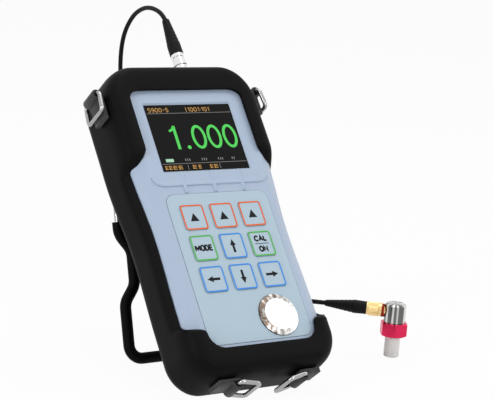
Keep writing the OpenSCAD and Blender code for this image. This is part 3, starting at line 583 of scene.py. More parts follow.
@dataclass
class Form:
    """Points and faces of one piece, in millimetres of its own frame."""

    name: str
    place: Matrix = field(default_factory=lambda: WORLD_MM.copy())
    points: list[Point] = field(default_factory=list)
    faces: list[tuple[int, ...]] = field(default_factory=list)
    paints: list[int] = field(default_factory=list)

    def add(self, points: Iterable[Sequence[float]], faces: Iterable[Sequence[int]],
            paint: int = 0) -> "Form":
        """Adds points and faces that count from the first new point."""
        base = len(self.points)
        self.points += [tuple(p) for p in points]
        for face in faces:
            self.faces.append(tuple(base + i for i in face))
            self.paints.append(paint)
        return self

    def loft(self, rings: Sequence[Sequence[Sequence[float]]], paint: int = 0,
             caps: tuple[bool, bool] = (True, True), closed: bool = False) -> "Form":
        """Skins closed rings that have equal numbers of points.

        Args:
            rings: The rings, in order.
            paint: Material number of the faces.
            caps: Whether the first and the last ring are filled.
            closed: Whether the last ring joins the first.

        Returns:
            The form itself.
        """
        n, count = len(rings[0]), len(rings)
        faces: list[tuple[int, ...]] = []
        for j in range(count if closed else count - 1):
            k = (j + 1) % count
            faces += [(j * n + i, j * n + (i + 1) % n, k * n + (i + 1) % n, k * n + i) for i in range(n)]
        if not closed and caps[0]:
            faces.append(tuple(range(n))[::-1])
        if not closed and caps[1]:
            faces.append(tuple((count - 1) * n + i for i in range(n)))
        return self.add([p for ring in rings for p in ring], faces, paint)

    def lathe(self, profile: Sequence[Pair], sides: int = 64, paint: int = 0,
              wave: Sequence[float] | None = None) -> "Form":
        """Turns a profile of (radius, height) round the z axis.

        Args:
            profile: The profile from one end to the other.
            sides: Points round the axis.
            paint: Material number of the faces.
            wave: Depth of the knurling at each profile point, cut at every second side.

        Returns:
            The form itself.
        """
        rings = []
        for k, (radius, height) in enumerate(profile):
            cut = wave[k] if wave else 0.0
            ring = []
            for i in range(sides):
                r, a = radius - cut * (i % 2), 2 * math.pi * i / sides
                ring.append((r * math.cos(a), r * math.sin(a), height))
            rings.append(ring)
        return self.loft(rings, paint)

    def prism(self, outline: Sequence[Pair], low: float, high: float, paint: int = 0) -> "Form":
        """A flat plate with that outline."""
        return self.loft([[(x, y, z) for x, y in outline] for z in (low, high)], paint)

    def band(self, outer: Sequence[Pair], inner: Sequence[Pair], low: float, high: float,
             paint: int = 0) -> "Form":
        """A flat frame between two outlines with equal numbers of points."""
        edges = ((outer, low), (outer, high), (inner, high), (inner, low))
        return self.loft([[(x, y, z) for x, y in line] for line, z in edges], paint, closed=True)

    def build(self, *finishes: Finish, crease: float = 35.0, smooth: bool = True) -> bpy.types.Object:
        """Makes the object.

        Args:
            finishes: Its materials, by number.
            crease: Angle in degrees above which an edge is sharp.
            smooth: Whether the faces are shaded smooth.

        Returns:
            The new object, in the row frame.
        """
        mesh = bpy.data.meshes.new(self.name)
        mesh.from_pydata([self.place @ Vector(p) for p in self.points], [], self.faces)
        mesh.polygons.foreach_set("material_index", self.paints)
        mesh.update()
        shade_by_angle(mesh, crease, smooth)
        thing = bpy.data.objects.new(self.name, mesh)
        bpy.context.scene.collection.objects.link(thing)
        for finish in finishes:
            mesh.materials.append(finish.make())
        return thing


def shade_by_angle(mesh: bpy.types.Mesh, crease: float, smooth: bool = True) -> None:
    """Shades a mesh smooth, with sharp edges above the crease angle in degrees."""
    mesh.polygons.foreach_set("use_smooth", [smooth] * len(mesh.polygons))
    if smooth:
        mesh.set_sharp_from_angle(angle=math.radians(crease))


def rounded(width: float, height: float, radius: float, steps: int = 8,
            x: float = 0.0, y: float = 0.0) -> list[Pair]:
    """The outline of a rounded rectangle, anticlockwise from its right side."""
    out: list[Pair] = []
    for q, (sx, sy) in enumerate(((1, 1), (-1, 1), (-1, -1), (1, -1))):
        for i in range(steps + 1):
            a = math.radians(90 * q + 90 * i / steps)
            out.append((x + sx * (width / 2 - radius) + radius * math.cos(a),
                        y + sy * (height / 2 - radius) + radius * math.sin(a)))
    return out


def sideways(path: Sequence[Pair], i: int) -> Pair:
    """The unit way across a path, to its right, at one of its points."""
    (ax, ay), (bx, by) = path[max(0, i - 1)], path[min(len(path) - 1, i + 1)]
    size = math.hypot(bx - ax, by - ay)
    return (by - ay) / size, (ax - bx) / size


def oval(x: float, y: float, across: float, up: float, count: int) -> list[Pair]:
    """The outline of an oval round a point, with those half widths."""
    turns = (2 * math.pi * i / count for i in range(count))
    return [(x + across * math.cos(a), y + up * math.sin(a)) for a in turns]


LETTER_HEIGHT = 6
LETTER_GAP = 1.7
LETTERS: dict[str, tuple[bool, tuple[tuple[Pair, ...], ...]]] = {
    "M": (False, (((0, 0), (0, 6)), ((0.2, 6), (2.9, 1.5), (5.6, 6)), ((5.8, 6), (5.8, 0)))),
    "O": (True, (((1.4, 0), (3.0, 0), (4.4, 1.6), (4.4, 4.4), (3.0, 6), (1.4, 6), (0, 4.4), (0, 1.6)),)),
    "D": (True, (((0, 0), (2.2, 0), (4, 1.6), (4, 4.4), (2.2, 6), (0, 6)),)),
    "E": (False, (((3.5, 0), (0, 0), (0, 6), (3.5, 6)), ((0, 3.1), (3.1, 3.1)))),
    "C": (False, (((4.2, 1.3), (3.1, 0), (1.4, 0), (0, 1.6), (0, 4.4), (1.4, 6), (3.1, 6), (4.2, 4.7)),)),
    "A": (False, (((0, 0), (2.2, 6), (4.4, 0)), ((0.8, 1.9), (3.6, 1.9)))),
    "L": (False, (((0, 6), (0, 0), (3.3, 0)),)),
    "N": (False, (((0, 0), (0, 6), (4, 0), (4, 6)),)),
    "0": (True, (((1, 0), (2.4, 0), (3.4, 1.4), (3.4, 4.6), (2.4, 6), (1, 6), (0, 4.6), (0, 1.4)),)),
    "1": (False, (((0.4, 4.8), (1.7, 6), (1.7, 0)),)),
    "5": (False, (((3.2, 6), (0.4, 6), (0.2, 3.4), (2.2, 3.6), (3.3, 2.6), (3.3, 1.2), (2.2, 0), (0.9, 0),
                   (0, 0.9)),)),
    "9": (False, (((0.4, 0.4), (1.4, 0), (2.6, 0.4), (3.4, 2), (3.4, 4.6), (2.4, 6), (1, 6), (0, 4.7),
                   (0.1, 3.6), (1.1, 2.7), (2.4, 2.8), (3.3, 3.6)),)),
    ":": (False, (((0.4, 1.4), (0.4, 2.2)), ((0.4, 3.8), (0.4, 4.6)))),
    "-": (False, (((0, 3), (2.4, 3)),))}


def stroke(form: Form, path: Sequence[Pair], width: float, low: float, high: float, paint: int = 0,
           closed: bool = False) -> None:
    """Lays a flat line of even width with mitred corners.

    Args:
        form: The form that gets it.
        path: Its middle line.
        width: Its width.
        low: Height of its underside.
        high: Height of its face.
        paint: Material number.
        closed: Whether its ends join.
    """
    last = len(path) - 1
    sides: tuple[list[Pair], list[Pair]] = ([], [])
    for i, (x, y) in enumerate(path):
        turns = []
        for a, b in ((i - 1, i), (i, i + 1)):
            if closed or (a >= 0 and b <= last):
                end = path[b % (last + 1)]
                dx, dy = end[0] - path[a][0], end[1] - path[a][1]
                size = math.hypot(dx, dy)
                turns.append((-dy / size, dx / size))
        nx, ny = sum(t[0] for t in turns) / len(turns), sum(t[1] for t in turns) / len(turns)
        reach = width / 2 / max(0.16, nx * nx + ny * ny)
        sides[0].append((x + nx * reach, y + ny * reach))
        sides[1].append((x - nx * reach, y - ny * reach))
    if closed:
        form.band(sides[1], sides[0], low, high, paint)
    else:
        n = last + 1
        points = [(x, y, z) for z in (low, high) for x, y in (*sides[0], *sides[1])]
        faces: list[tuple[int, ...]] = []
        for i in range(last):
            faces += [(2 * n + i, 3 * n + i, 3 * n + i + 1, 2 * n + i + 1), (i, i + 1, n + i + 1, n + i),
                      (i, 2 * n + i, 2 * n + i + 1, i + 1), (n + i, n + i + 1, 3 * n + i + 1, 3 * n + i)]
        faces += [(0, n, 3 * n, 2 * n), (last, 2 * n + last, 3 * n + last, n + last)]
        form.add(points, faces, paint)


def write(form: Form, text: str, x: float, y: float, height: float, width: float, weight: float,
          low: float, high: float, paint: int = 0) -> None:
    """Prints a plain word or number with strokes, centred on a point.

    Args:
        form: The form that gets it.
        text: What it says.
        x: Middle, across.
        y: Middle, up.
        height: Height over all.
        width: Width over all.
        weight: Width of its strokes.
        low: Height of its underside.
        high: Height of its face.
        paint: Material number.
    """
    spans = [max(px for line in LETTERS[c][1] for px, _ in line) for c in text]
    scale_x = (width - weight) / (sum(spans) + LETTER_GAP * (len(text) - 1))
    scale_y = (height - weight) / LETTER_HEIGHT
    left = x - (width - weight) / 2
    for c, span in zip(text, spans):
        closed, lines = LETTERS[c]
        for line in lines:
            at = [(left + px * scale_x, y - (height - weight) / 2 + py * scale_y) for px, py in line]
            stroke(form, at, weight, low, high, paint, closed)
        left += (span + LETTER_GAP) * scale_x


WELD_REACH = 1e-6


def dress(node: str, finish: Finish, crease: float = 32.0) -> bpy.types.Object:
    """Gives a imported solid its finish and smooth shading; its shape stays as it is."""
    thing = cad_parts[node]
    mesh = thing.data
    mesh.materials.clear()
    mesh.materials.append(finish.make())
    mesh.polygons.foreach_set("material_index", [0] * len(mesh.polygons))
    mesh.polygons.foreach_set("use_smooth", [True] * len(mesh.polygons))
    if mesh.attributes.get("custom_normal"):
        mesh.attributes.remove(mesh.attributes["custom_normal"])
    weld = thing.modifiers.new("weld", "WELD")
    weld.merge_threshold = WELD_REACH
    split = thing.modifiers.new("split", "EDGE_SPLIT")
    split.split_angle = math.radians(crease)
    split.use_edge_sharp = False
    return thing


def ready(thing: bpy.types.Object, body: str, slot: str, *nodes: str) -> bpy.types.Object:
    """Lets a new piece ride on a body and stand for nodes, whose imported solids it hides."""
    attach(thing, body)
    if nodes:
        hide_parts(*nodes)
    log.info("%s: %d faces on %s", thing.name, len(getattr(thing.data, "polygons", [])), body)
    return thing


# ---------------------------------------------------------------- studio


@dataclass(frozen=True)
class Softbox:
    """One large soft lamp: places and size in metres, power in watts."""

    name: str
    at: Point
    aim: Point
    size: Pair
    power: float

    def hang(self) -> None:
        """Adds the lamp to the scene, turned to what it lights."""
        data = bpy.data.lights.new(self.name, "AREA")
        data.shape, data.energy = "RECTANGLE", self.power
        data.size, data.size_y = self.size
        thing = bpy.data.objects.new(self.name, data)
        bpy.context.scene.collection.objects.link(thing)
        thing.location = self.at
        thing.rotation_euler = (Vector(self.aim) - Vector(self.at)).to_track_quat("-Z", "Y").to_euler()


@dataclass
class Studio:
    """Camera, floor and soft light."""

    camera_at: Point = (-450.8, -646.3, 245.3)
    camera_right: Point = (0.833, -0.548, 0.0755)
    camera_up: Point = (0.0507, 0.2115, 0.9761)
    lens: float = 118.8
    sensor: float = 36.0
    sight: Pair = (0.05, 50.0)
    floor_size: float = 8.0
    floor_tone: Colour = (0.9, 0.9, 0.9, 1.0)
    floor_white: float = 0.95
    room_light: float = 0.3
    lamps: tuple[Softbox, ...] = (
        Softbox("softbox_left", (-0.95, -0.2, 0.4), (-0.03, 0.0, 0.08), (0.2, 0.7), 3.2),
        Softbox("softbox_front", (-0.1, -1.1, 0.6), (-0.02, 0.0, 0.07), (0.3, 0.7), 3.6),
        Softbox("softbox_top", (0.1, 0.1, 1.1), (0.0, 0.0, 0.05), (0.9, 0.9), 4.6),
        Softbox("softbox_right", (0.95, -0.35, 0.5), (0.05, 0.0, 0.07), (0.4, 0.8), 2.2))

    def camera(self) -> None:
        """Puts the camera where the photograph was taken from."""
        data = bpy.data.cameras.new("camera")
        data.sensor_width, data.lens = self.sensor, self.lens
        data.clip_start, data.clip_end = self.sight
        thing = bpy.data.objects.new("camera", data)
        bpy.context.scene.collection.objects.link(thing)
        right = Vector(self.camera_right).normalized()
        up = (Vector(self.camera_up) - right * right.dot(Vector(self.camera_up))).normalized()
        turn = Matrix((right, up, right.cross(up))).transposed().to_4x4()
        thing.matrix_world = Matrix.Translation(Vector(self.camera_at) * MM) @ turn
        bpy.context.scene.camera = thing

    def floor(self) -> None:
        """A white table top that runs into a white room and keeps a soft shadow."""
        shade = Shade("studio_white")
        shade.put(Base_Color=self.floor_tone, Roughness=0.9, Specular_IOR_Level=0.1)
        glow = shade.node("ShaderNodeEmission", {}, {"Color": (1.0, 1.0, 1.0, 1.0), "Strength": 1.0})
        paper = Wire(shade.tree, shade.surface.outputs[0])
        both = shade.node("ShaderNodeMixShader", {}, {0: shade.shown() * self.floor_white, 1: paper, 2: glow})
        feed(shade.tree, shade.tree.nodes["Material Output"].inputs[0], both)
        half = self.floor_size / 2 / MM
        corners = [(-half, -half, 0), (half, -half, 0), (half, half, 0), (-half, half, 0)]
        thing = Form("floor").add(corners, [(0, 1, 2, 3)]).build()
        thing.data.materials.append(shade.material)

    def room(self) -> None:
        """An even pale room that looks white to the camera and in mirrors."""
        world = bpy.data.worlds.new("room")
        world.use_nodes = True
        bpy.context.scene.world = world
        nodes = Nodes(world.node_tree)
        back = nodes.tree.nodes["Background"]
        back.inputs["Color"].default_value = (1.0, 1.0, 1.0, 1.0)
        strength = nodes.shown() * (1.0 - self.room_light) + self.room_light
        feed(nodes.tree, back.inputs["Strength"], strength)

    def build(self) -> None:
        """Builds the studio."""
        bpy.context.scene.view_settings.view_transform = "Standard"
        self.camera()
        self.floor()
        self.room()
        for lamp in self.lamps:
            lamp.hang()
        log.info("studio ready")


# ---------------------------------------------------------------- cable


@dataclass
class Cable:
    """The thin lead from the gauge to the probe, with its spare length coiled behind the gauge."""

    diameter: float = 2.4
    coil_at: Pair = (30.0, 66.5)
    coil_radius: float = 14.0
    across: int = 5
    layers: int = 2
    coil_start: float = 45.0
    ring_points: int = 24
    step_share: float = 0.2
    length: float = 1230.0
    exit: Point = (-16.7, 77.9, 160.2)
    upper: tuple[Point, ...] = (
        (-16.7, 80.6, 162.4), (-16.7, 84.6, 164.3), (-16.7, 89.2, 165.3), (-16.7, 94.4, 165.6),
        (-16.7, 99.8, 165), (-16.7, 105.4, 163.2), (-16.7, 110.9, 160.2), (-16.7, 115.6, 156),
        (-16.7, 119.5, 150.8), (-16.7, 122, 145), (-16.6, 123.3, 138), (-16.4, 123.3, 129),
        (-15.5, 122.5, 117), (-13.5, 120.5, 101), (-10, 117.5, 84), (-6, 114, 67), (-1, 110, 49),
        (5, 105.5, 31), (12, 100.5, 16), (20, 95.5, 6.5), (31, 88.5, 2))
    lower: tuple[Point, ...] = (
        (48.6, 59.5, 2.8), (47, 52, 2.2), (43.5, 44.5, 3.8), (39.5, 36.5, 8.5), (36.2, 28, 15),
        (35.5, 19.5, 20.6), (39, 12, 23.3))
    probe_end: Point = (46.344, 4.156, 23.85)

    def ring_at(self, ring: int) -> Pair:
        """Radius and height of one ring of the coil: inward on the floor, then outward on top."""
        last = self.layers * self.across - 1
        ring = min(ring, last)
        inward = ring if ring < self.across else last - ring
        outer = self.coil_radius + (self.across - 1) / 2 * self.diameter
        height = self.diameter / 2 + (self.diameter if ring >= self.across else 0.0)
        return outer - inward * self.diameter, height

    def turns(self) -> list[Point]:
        """Points of the coil, clockwise from above, each ring eased over into the next near its end."""
        out: list[Point] = []
        rings = self.layers * self.across
        total = rings * 360.0 + self.coil_start
        steps = rings * self.ring_points + round(self.ring_points * self.coil_start / 360.0)
        for i in range(steps + 1):
            swept = total * i / steps
            whole = min(int(swept / 360.0), rings - 1)
            part = clamp((swept / 360.0 - whole - (1 - self.step_share)) / self.step_share)
            ease = (1 - math.cos(math.pi * part)) / 2
            (r0, z0), (r1, z1) = self.ring_at(whole), self.ring_at(whole + 1)
            radius, height = r0 + (r1 - r0) * ease, z0 + (z1 - z0) * ease
            a = math.radians(self.coil_start - swept)
            x, y = self.coil_at
            out.append((x + radius * math.cos(a), y + radius * math.sin(a), height))
        return out

    def build(self) -> bpy.types.Object:
        """Builds the lead along its whole route."""
        coil = self.turns()
        route = spline([self.exit, *self.upper, coil[0]], 6)[:-1] + coil
        route += spline([coil[-1], *self.lower, self.probe_end], 6)[1:]
        data = bpy.data.curves.new("cable_lead", "CURVE")
        data.dimensions = "3D"
        data.bevel_depth, data.bevel_resolution = self.diameter / 2 * MM, 5
        data.use_fill_caps = True
        line = data.splines.new("POLY")
        line.points.add(len(route) - 1)
        for point, at in zip(line.points, route):
            point.co = (*(v * MM for v in at), 1.0)
        data.materials.append(CABLE_SKIN.make())
        thing = bpy.data.objects.new("cable_lead", data)
        bpy.context.scene.collection.objects.link(thing)
        real = sum((Vector(b) - Vector(a)).length for a, b in zip(route, route[1:]))
        log.info("cable is %.0f mm long", real)
        return ready(thing, "gauge", "cable_jacket", "cable_upper", "cable_coil", "cable_lower")


# ---------------------------------------------------------------- boot


@dataclass(frozen=True)
class Rim:
    """One place round the boot: the case's outline, the way out of it and what the lip does there."""

    at: Pair
    out: Pair
    inner: Pair
    cover: float
    rise: float


@dataclass(frozen=True)
class Station:
    """One point of the boot's section: how far in from the case's outline, and how high."""

    side: float
    top: float
    foot: float
    height: float
    from_lip: bool = False

    @classmethod
    def even(cls, inset: float, height: float, from_lip: bool = False) -> "Station":
        """A station with one inset all round, counted back from the lip's edge where that is said."""
        return cls(inset, inset, inset, height, from_lip)

    def lowered(self, low: float, share: float) -> "Station":
        """The same insets at a share of the way up from a low height."""
        return replace(self, height=low + (self.height - low) * share)


PLUG_AXIS: Pair = (13.3, -14.0)
TINY = 1e-9


def plug_frame(start: float = 0.0) -> Matrix:
    """Millimetres along the plug's axis, out of the case's top end, from a height up the case."""
    along = Matrix.Translation((PLUG_AXIS[0], start, PLUG_AXIS[1]))
    return GAUGE @ along @ Matrix.Rotation(math.radians(-90), 4, "X")


@dataclass
class Boot:
    """The rubber boot: one thick skin round the case, with lips over the display end and the foot.

    The waist, shoulder and hip are shares of the case's length. The facet is half the angle of the
    flat that the boot stands on, and the cheeks are measured down from the window's middle.
    """

    length: float = 156.0
    upper_half: float = 40.0
    waist_half: float = 37.2
    lower_half: float = 37.9
    waist: float = 0.417
    shoulder: float = 0.705
    hip: float = 0.19
    top_corner: float = 15.0
    bottom_corner: float = 12.0
    depth: float = 29.0
    gap: float = 0.25
    side_wall: float = 3.0
    top_wall: float = 5.5
    bottom_wall: float = 4.0
    back_wall: float = 2.5
    back_edge: float = 7.0
    facet: float = 15.0
    lip: float = 2.5
    lip_round: float = 0.6
    roll: Pair = (6.2, 10.5)
    reach: Point = (7.8, 10.0, 8.6)
    foot_round: float = 8.0
    horn_low: float = 16.4
    horn_high: float = 20.4
    horn_run_out: float = 24.6
    horn_shoulder: float = 2.8
    bevel_width: float = 6.8
    bevel_depth: float = 5.0
    window_y: float = 120.0
    cheek_low: float = 16.5
    cheek_high: float = 6.0
    bare_low: float = 11.0
    bare_across: tuple[float, ...] = (0.0, 0.11, 0.33, 0.54, 0.72, 0.85, 0.92, 0.92, 0.92)
    bare_up: tuple[float, ...] = (0.0, 0.28, 0.52, 0.72, 0.88, 1.0, 0.94, 0.84, 0.74)
    corner_steps: int = 14
    plug_hole: float = 7.0
    plug_hole_span: Pair = (140.0, 180.0)

    def half_width(self, y: float) -> float:
        """Half width of the case at that height."""
        waist, shoulder, hip = (share * self.length for share in (self.waist, self.shoulder, self.hip))
        if y > waist:
            wide, t = self.upper_half, (y - waist) / (shoulder - waist)
        else:
            wide, t = self.lower_half, (waist - y) / (waist - hip)
        return self.waist_half + (wide - self.waist_half) * (1 - math.cos(math.pi * clamp(t))) / 2

    def cheek(self, y: float) -> float:
        """Share of the lip beside the display."""
        t = (y - self.window_y + self.cheek_low) / (self.cheek_low - self.cheek_high)
        return math.sin(math.pi / 2 * clamp(t))

    def cover(self, y: float) -> float:
        """Share of the lip's reach: whole over the display and the foot, none at the waist."""
        if y > self.waist * self.length:
            return self.cheek(y)
        t = clamp((y - self.horn_low) / (self.horn_high - self.horn_low))
        return math.sqrt(1 - t * t)

    def rise(self, y: float) -> float:
        """Share of the lip's height; past the horn it runs out more slowly than the reach."""
        if y > self.waist * self.length:
            return self.cheek(y)
        whole = self.horn_high - self.horn_shoulder
        return (1 + math.cos(math.pi * clamp((y - whole) / (self.horn_run_out - whole)))) / 2

    def inner(self, x: float, y: float, dx: float, dy: float) -> Pair:
        """The edge of the whole lip; at the foot its corners follow a rounder arc than the case's.

        Args:
            x: Place on the case's outline, across.
            y: Place on the case's outline, up.
            dx: Way out of the outline there, across.
            dy: Way out of the outline there, up.

        Returns:
            The point of the edge that answers to that place.
        """
        corner, arc = self.bottom_corner, self.foot_round
        start, flat = self.reach[2] + arc, self.lower_half - corner
        run = (start - max(y, corner) + corner * math.asin(clamp(-dy)) + max(0.0, flat - abs(x)))
        if run < 0:
            return x - dx * self.reach[0], y - dy * self.reach[1]
        whole = start + self.reach[0] + arc + (math.pi / 2 - 2) * corner
        turn, past = math.pi / 2 * clamp(run / whole), max(0.0, run - whole)
        edge = self.lower_half - self.reach[0] - arc + arc * math.cos(turn) - past
        return (edge if x > 0 else -edge), start - arc * math.sin(turn)

    def rim(self, x: float, y: float, way: float) -> Rim:
        """The place on the case's outline whose way out has that angle in degrees.

        Args:
            x: Place across.
            y: Place up.
            way: Angle of the way out.

        Returns:
            The place, with what the lip does there.
        """
        dx, dy = math.cos(math.radians(way)), math.sin(math.radians(way))
        if abs(dy) < TINY:
            return Rim((x, y), (dx, 0.0), self.inner(x, y, dx, 0.0), self.cover(y), self.rise(y))
        return Rim((x, y), (dx, dy), self.inner(x, y, dx, dy), 1.0, 1.0)

    def corner(self, x: float, y: float, radius: float, start: float) -> list[Rim]:
        """A round corner of the outline.

        Args:
            x: Its centre, across.
            y: Its centre, up.
            radius: Its radius.
            start: Angle in degrees where it starts.

        Returns:
            Its places, anticlockwise.
        """
        ways = spread(start, start + 90, self.corner_steps, True)
        return [self.rim(x + radius * math.cos(math.radians(w)), y + radius * math.sin(math.radians(w)), w)
                for w in ways]

    def outline(self) -> list[Rim]:
        """Places round the case, anticlockwise from the right side at the foot."""
        low, high = self.bottom_corner, self.length - self.top_corner
        stops = ((low, 0), (self.horn_low, 5), (self.horn_high, 12), (self.horn_run_out, 12),
                 (self.window_y - self.cheek_low, 36), (self.window_y - self.cheek_high, 16), (high - 1, 14))
        ys = [y for (a, _), (b, count) in zip(stops, stops[1:]) for y in spread(a, b, count)]
        top, foot = self.upper_half - self.top_corner, self.lower_half - self.bottom_corner
        out = [self.rim(self.half_width(y), y, 0.0) for y in ys]
        out += self.corner(top, high, self.top_corner, 0.0)
        out += self.corner(-top, high, self.top_corner, 90.0)
        out += [self.rim(-self.half_width(y), y, 180.0) for y in reversed(ys)]
        out += self.corner(-foot, low, self.bottom_corner, 180.0)
        out += [self.rim(x, 0.0, 270.0) for x in spread(-foot, foot, 24)[:-1]]
        return out + self.corner(foot, low, self.bottom_corner, 270.0)

    def ring(self, outline: list[Rim], full: Station, bare: Station) -> list[Point]:
        """One ring of the skin.

        Args:
            outline: The places round the case.
            full: The station of the section with the lip.
            bare: The same station without it.

        Returns:
            The ring's points.
        """
        out: list[Point] = []
        for rim in outline:
            (x, y), (dx, dy), (ex, ey) = rim.at, rim.out, rim.inner
            if full.from_lip:
                back = full.side / math.hypot(ex - x, ey - y)
                fx, fy = ex + (x - ex) * back, ey + (y - ey) * back
            else:
                fx, fy = x - dx * full.side, y - dy * (full.top if dy > 0 else full.foot)
            bx, by = x - dx * bare.side, y - dy * (bare.top if dy > 0 else bare.foot)
            out.append((bx + (fx - bx) * rim.cover, by + (fy - by) * rim.cover,
                        bare.height + (full.height - bare.height) * rim.rise))
        return out

    def outside(self, inset: float, height: float) -> Station:
        """A station measured in from the boot's outer skin."""
        walls = (self.side_wall, self.top_wall, self.bottom_wall)
        return Station(*(inset - wall - self.gap for wall in walls), height)

    def sections(self) -> tuple[list[Station], list[Station]]:
        """The section of the front edge with the lip, and without it, as equal lists."""
        full = [self.outside(self.roll[0] * (1 - math.cos(a)), self.lip - self.roll[1] * (1 - math.sin(a)))
                for a in map(math.radians, (0, 30, 60, 90))]
        full += [Station.even(self.lip_round, self.lip - self.gap, True),
                 Station.even(0.0, self.lip - self.lip_round - self.gap, True),
                 Station.even(self.gap, self.gap, True),
                 Station.even(self.bevel_width - self.gap, self.gap),
                 Station.even(-self.gap, self.gap / 2 - self.bevel_depth)]
        out, tall = self.side_wall + self.gap, self.bare_low - self.bevel_depth - 4 * self.gap
        bare = [Station.even((out - self.gap) * s / self.bare_across[-1] - out, tall * r - self.bare_low)
                for s, r in zip(self.bare_across, self.bare_up)]
        return full, bare

    def rings(self) -> list[list[Point]]:
        """All rings of the skin, from the back over the outside to the inner floor."""
        line = self.outline()
        radius, inner = self.back_edge + self.back_wall, self.back_edge + self.gap
        edge = self.back_edge - self.depth - self.gap
        rings: list[list[Point]] = []
        for a in spread(90, LEAN + self.facet, 5, True) + spread(LEAN - self.facet, 0, 5, True):
            turn = math.radians(a)
            station = self.outside(radius * (1 - math.cos(turn)), edge - radius * math.sin(turn))
            rings.append(self.ring(line, station, station))
        full, bare = self.sections()
        rings += [self.ring(line, full[0].lowered(edge, t), bare[0].lowered(edge, t)) for t in (0.35, 0.7)]
        ways = [spline(way, 4) for way in zip(*(self.ring(line, f, b) for f, b in zip(full, bare)))]
        rings += [list(ring) for ring in zip(*ways)]
        for turn in map(math.radians, (0, 25, 55, 90)):
            station = Station.even(inner * (1 - math.cos(turn)) - self.gap,
                                   inner - self.depth - self.gap - inner * math.sin(turn))
            rings.append(self.ring(line, station, station))
        return rings

    def build(self) -> None:
        """Builds the boot and cuts the plug's hole."""
        thing = Form("boot_skin", GAUGE).loft(self.rings()).build(BOOT_RUBBER, crease=50)
        start, end = self.plug_hole_span
        cutter = Form("plug_hole_cutter", plug_frame(start))
        hole = cutter.lathe([(self.plug_hole, 0.0), (self.plug_hole, end - start)], 48).build()
        cut = thing.modifiers.new("plug_hole", "BOOLEAN")
        cut.operation, cut.object, cut.solver = "DIFFERENCE", hole, "EXACT"
        bpy.context.view_layer.update()
        graph = bpy.context.evaluated_depsgraph_get()
        mesh = bpy.data.meshes.new_from_object(thing.evaluated_get(graph))
        thing.modifiers.clear()
        thing.data = mesh
        shade_by_angle(mesh, 50)
        bpy.data.objects.remove(hole)
        ready(thing, "gauge", "black_rubber", "rubber_boot")


# ---------------------------------------------------------------- case, display and keypad


@dataclass
class Case:
    """The plastic case and what is sealed inside it."""

    inside: Mapping[str, Finish] = field(default_factory=lambda: {
        "battery_cells": CELL_SLEEVE, "battery_contacts": NICKEL, "case_screws": BRIGHT_WIRE,
        "main_board": SOLDER_GREEN, "lcd_module": BLACK_PLASTIC, "display_gasket": SLEEVE_RUBBER,
        "keypad_circuit": AMBER_FILM, "dome_switches": NICKEL})
    rib_places: Point = (-15.9, 0.6, 17.1)
    rib_ends: Pair = (89.7, 101.0)
    rib_size: Pair = (1.8, 0.36)
    zone_half: float = 28.8
    zone_y: float = 94.5
    zone_curl: float = 3.5
    zone_clear: float = 6.0
    zone_size: Pair = (2.0, 0.24)
    root: float = -0.6

    def build(self) -> None:
        """Dresses the shells and the inner parts, and builds the ribs."""
        for node in ("front_case", "rear_case", "battery_door"):
            dress(node, CASE_BLUE, 24)
        for node, finish in self.inside.items():
            dress(node, finish)
        ready(self.ribs().build(CASE_BLUE, crease=60), "gauge", "case_plastic")
        log.info("case dressed")

    def ribs(self) -> Form:
        """The three soft ribs under the display and the ridge that they cross."""
        form = Form("panel_ribs", GAUGE)
        for x in self.rib_places:
            self.ridge(form, [(x, y) for y in spread(*self.rib_ends, 8, True)], *self.rib_size)
        half, y, curl, clear = self.zone_half, self.zone_y, self.zone_curl, self.zone_clear
        bend = [(half - curl / 2, y), (half + curl / 3, y + curl / 4), (half + curl, y + curl)]
        line = [(-px, py) for px, py in reversed(bend)]
        line += [(px, y) for px in spread(clear - half, half - clear, 12, True)] + bend
        self.ridge(form, [(p[0], p[1]) for p in spline(line, 4)], *self.zone_size)
        return form

    def ridge(self, form: Form, path: Sequence[Pair], width: float, rise: float) -> None:
        """Adds a soft ridge along a line on the front, with its ends run out."""
        arc = [(math.sin(a), math.cos(a)) for a in spread(-1.25, 1.25, 8, True)]
        rings: list[list[Point]] = []
        for i, (x, y) in enumerate(path):
            nx, ny = sideways(path, i)
            tall = rise * math.sqrt(clamp(min(i, len(path) - 1 - i) / 2.0 + 0.08))
            rings.append([(x + nx * t * width / 2, y + ny * t * width / 2, tall * h if h > 0 else self.root)
                          for t, h in ((-1.0, -1.0), *arc, (1.0, -1.0))])
        form.loft(rings)


class Pixel(IntEnum):
    """The colours of the display's picture, by material number."""

    GREEN = 0
    GREY = 1
    ORANGE = 2
    PALE = 3


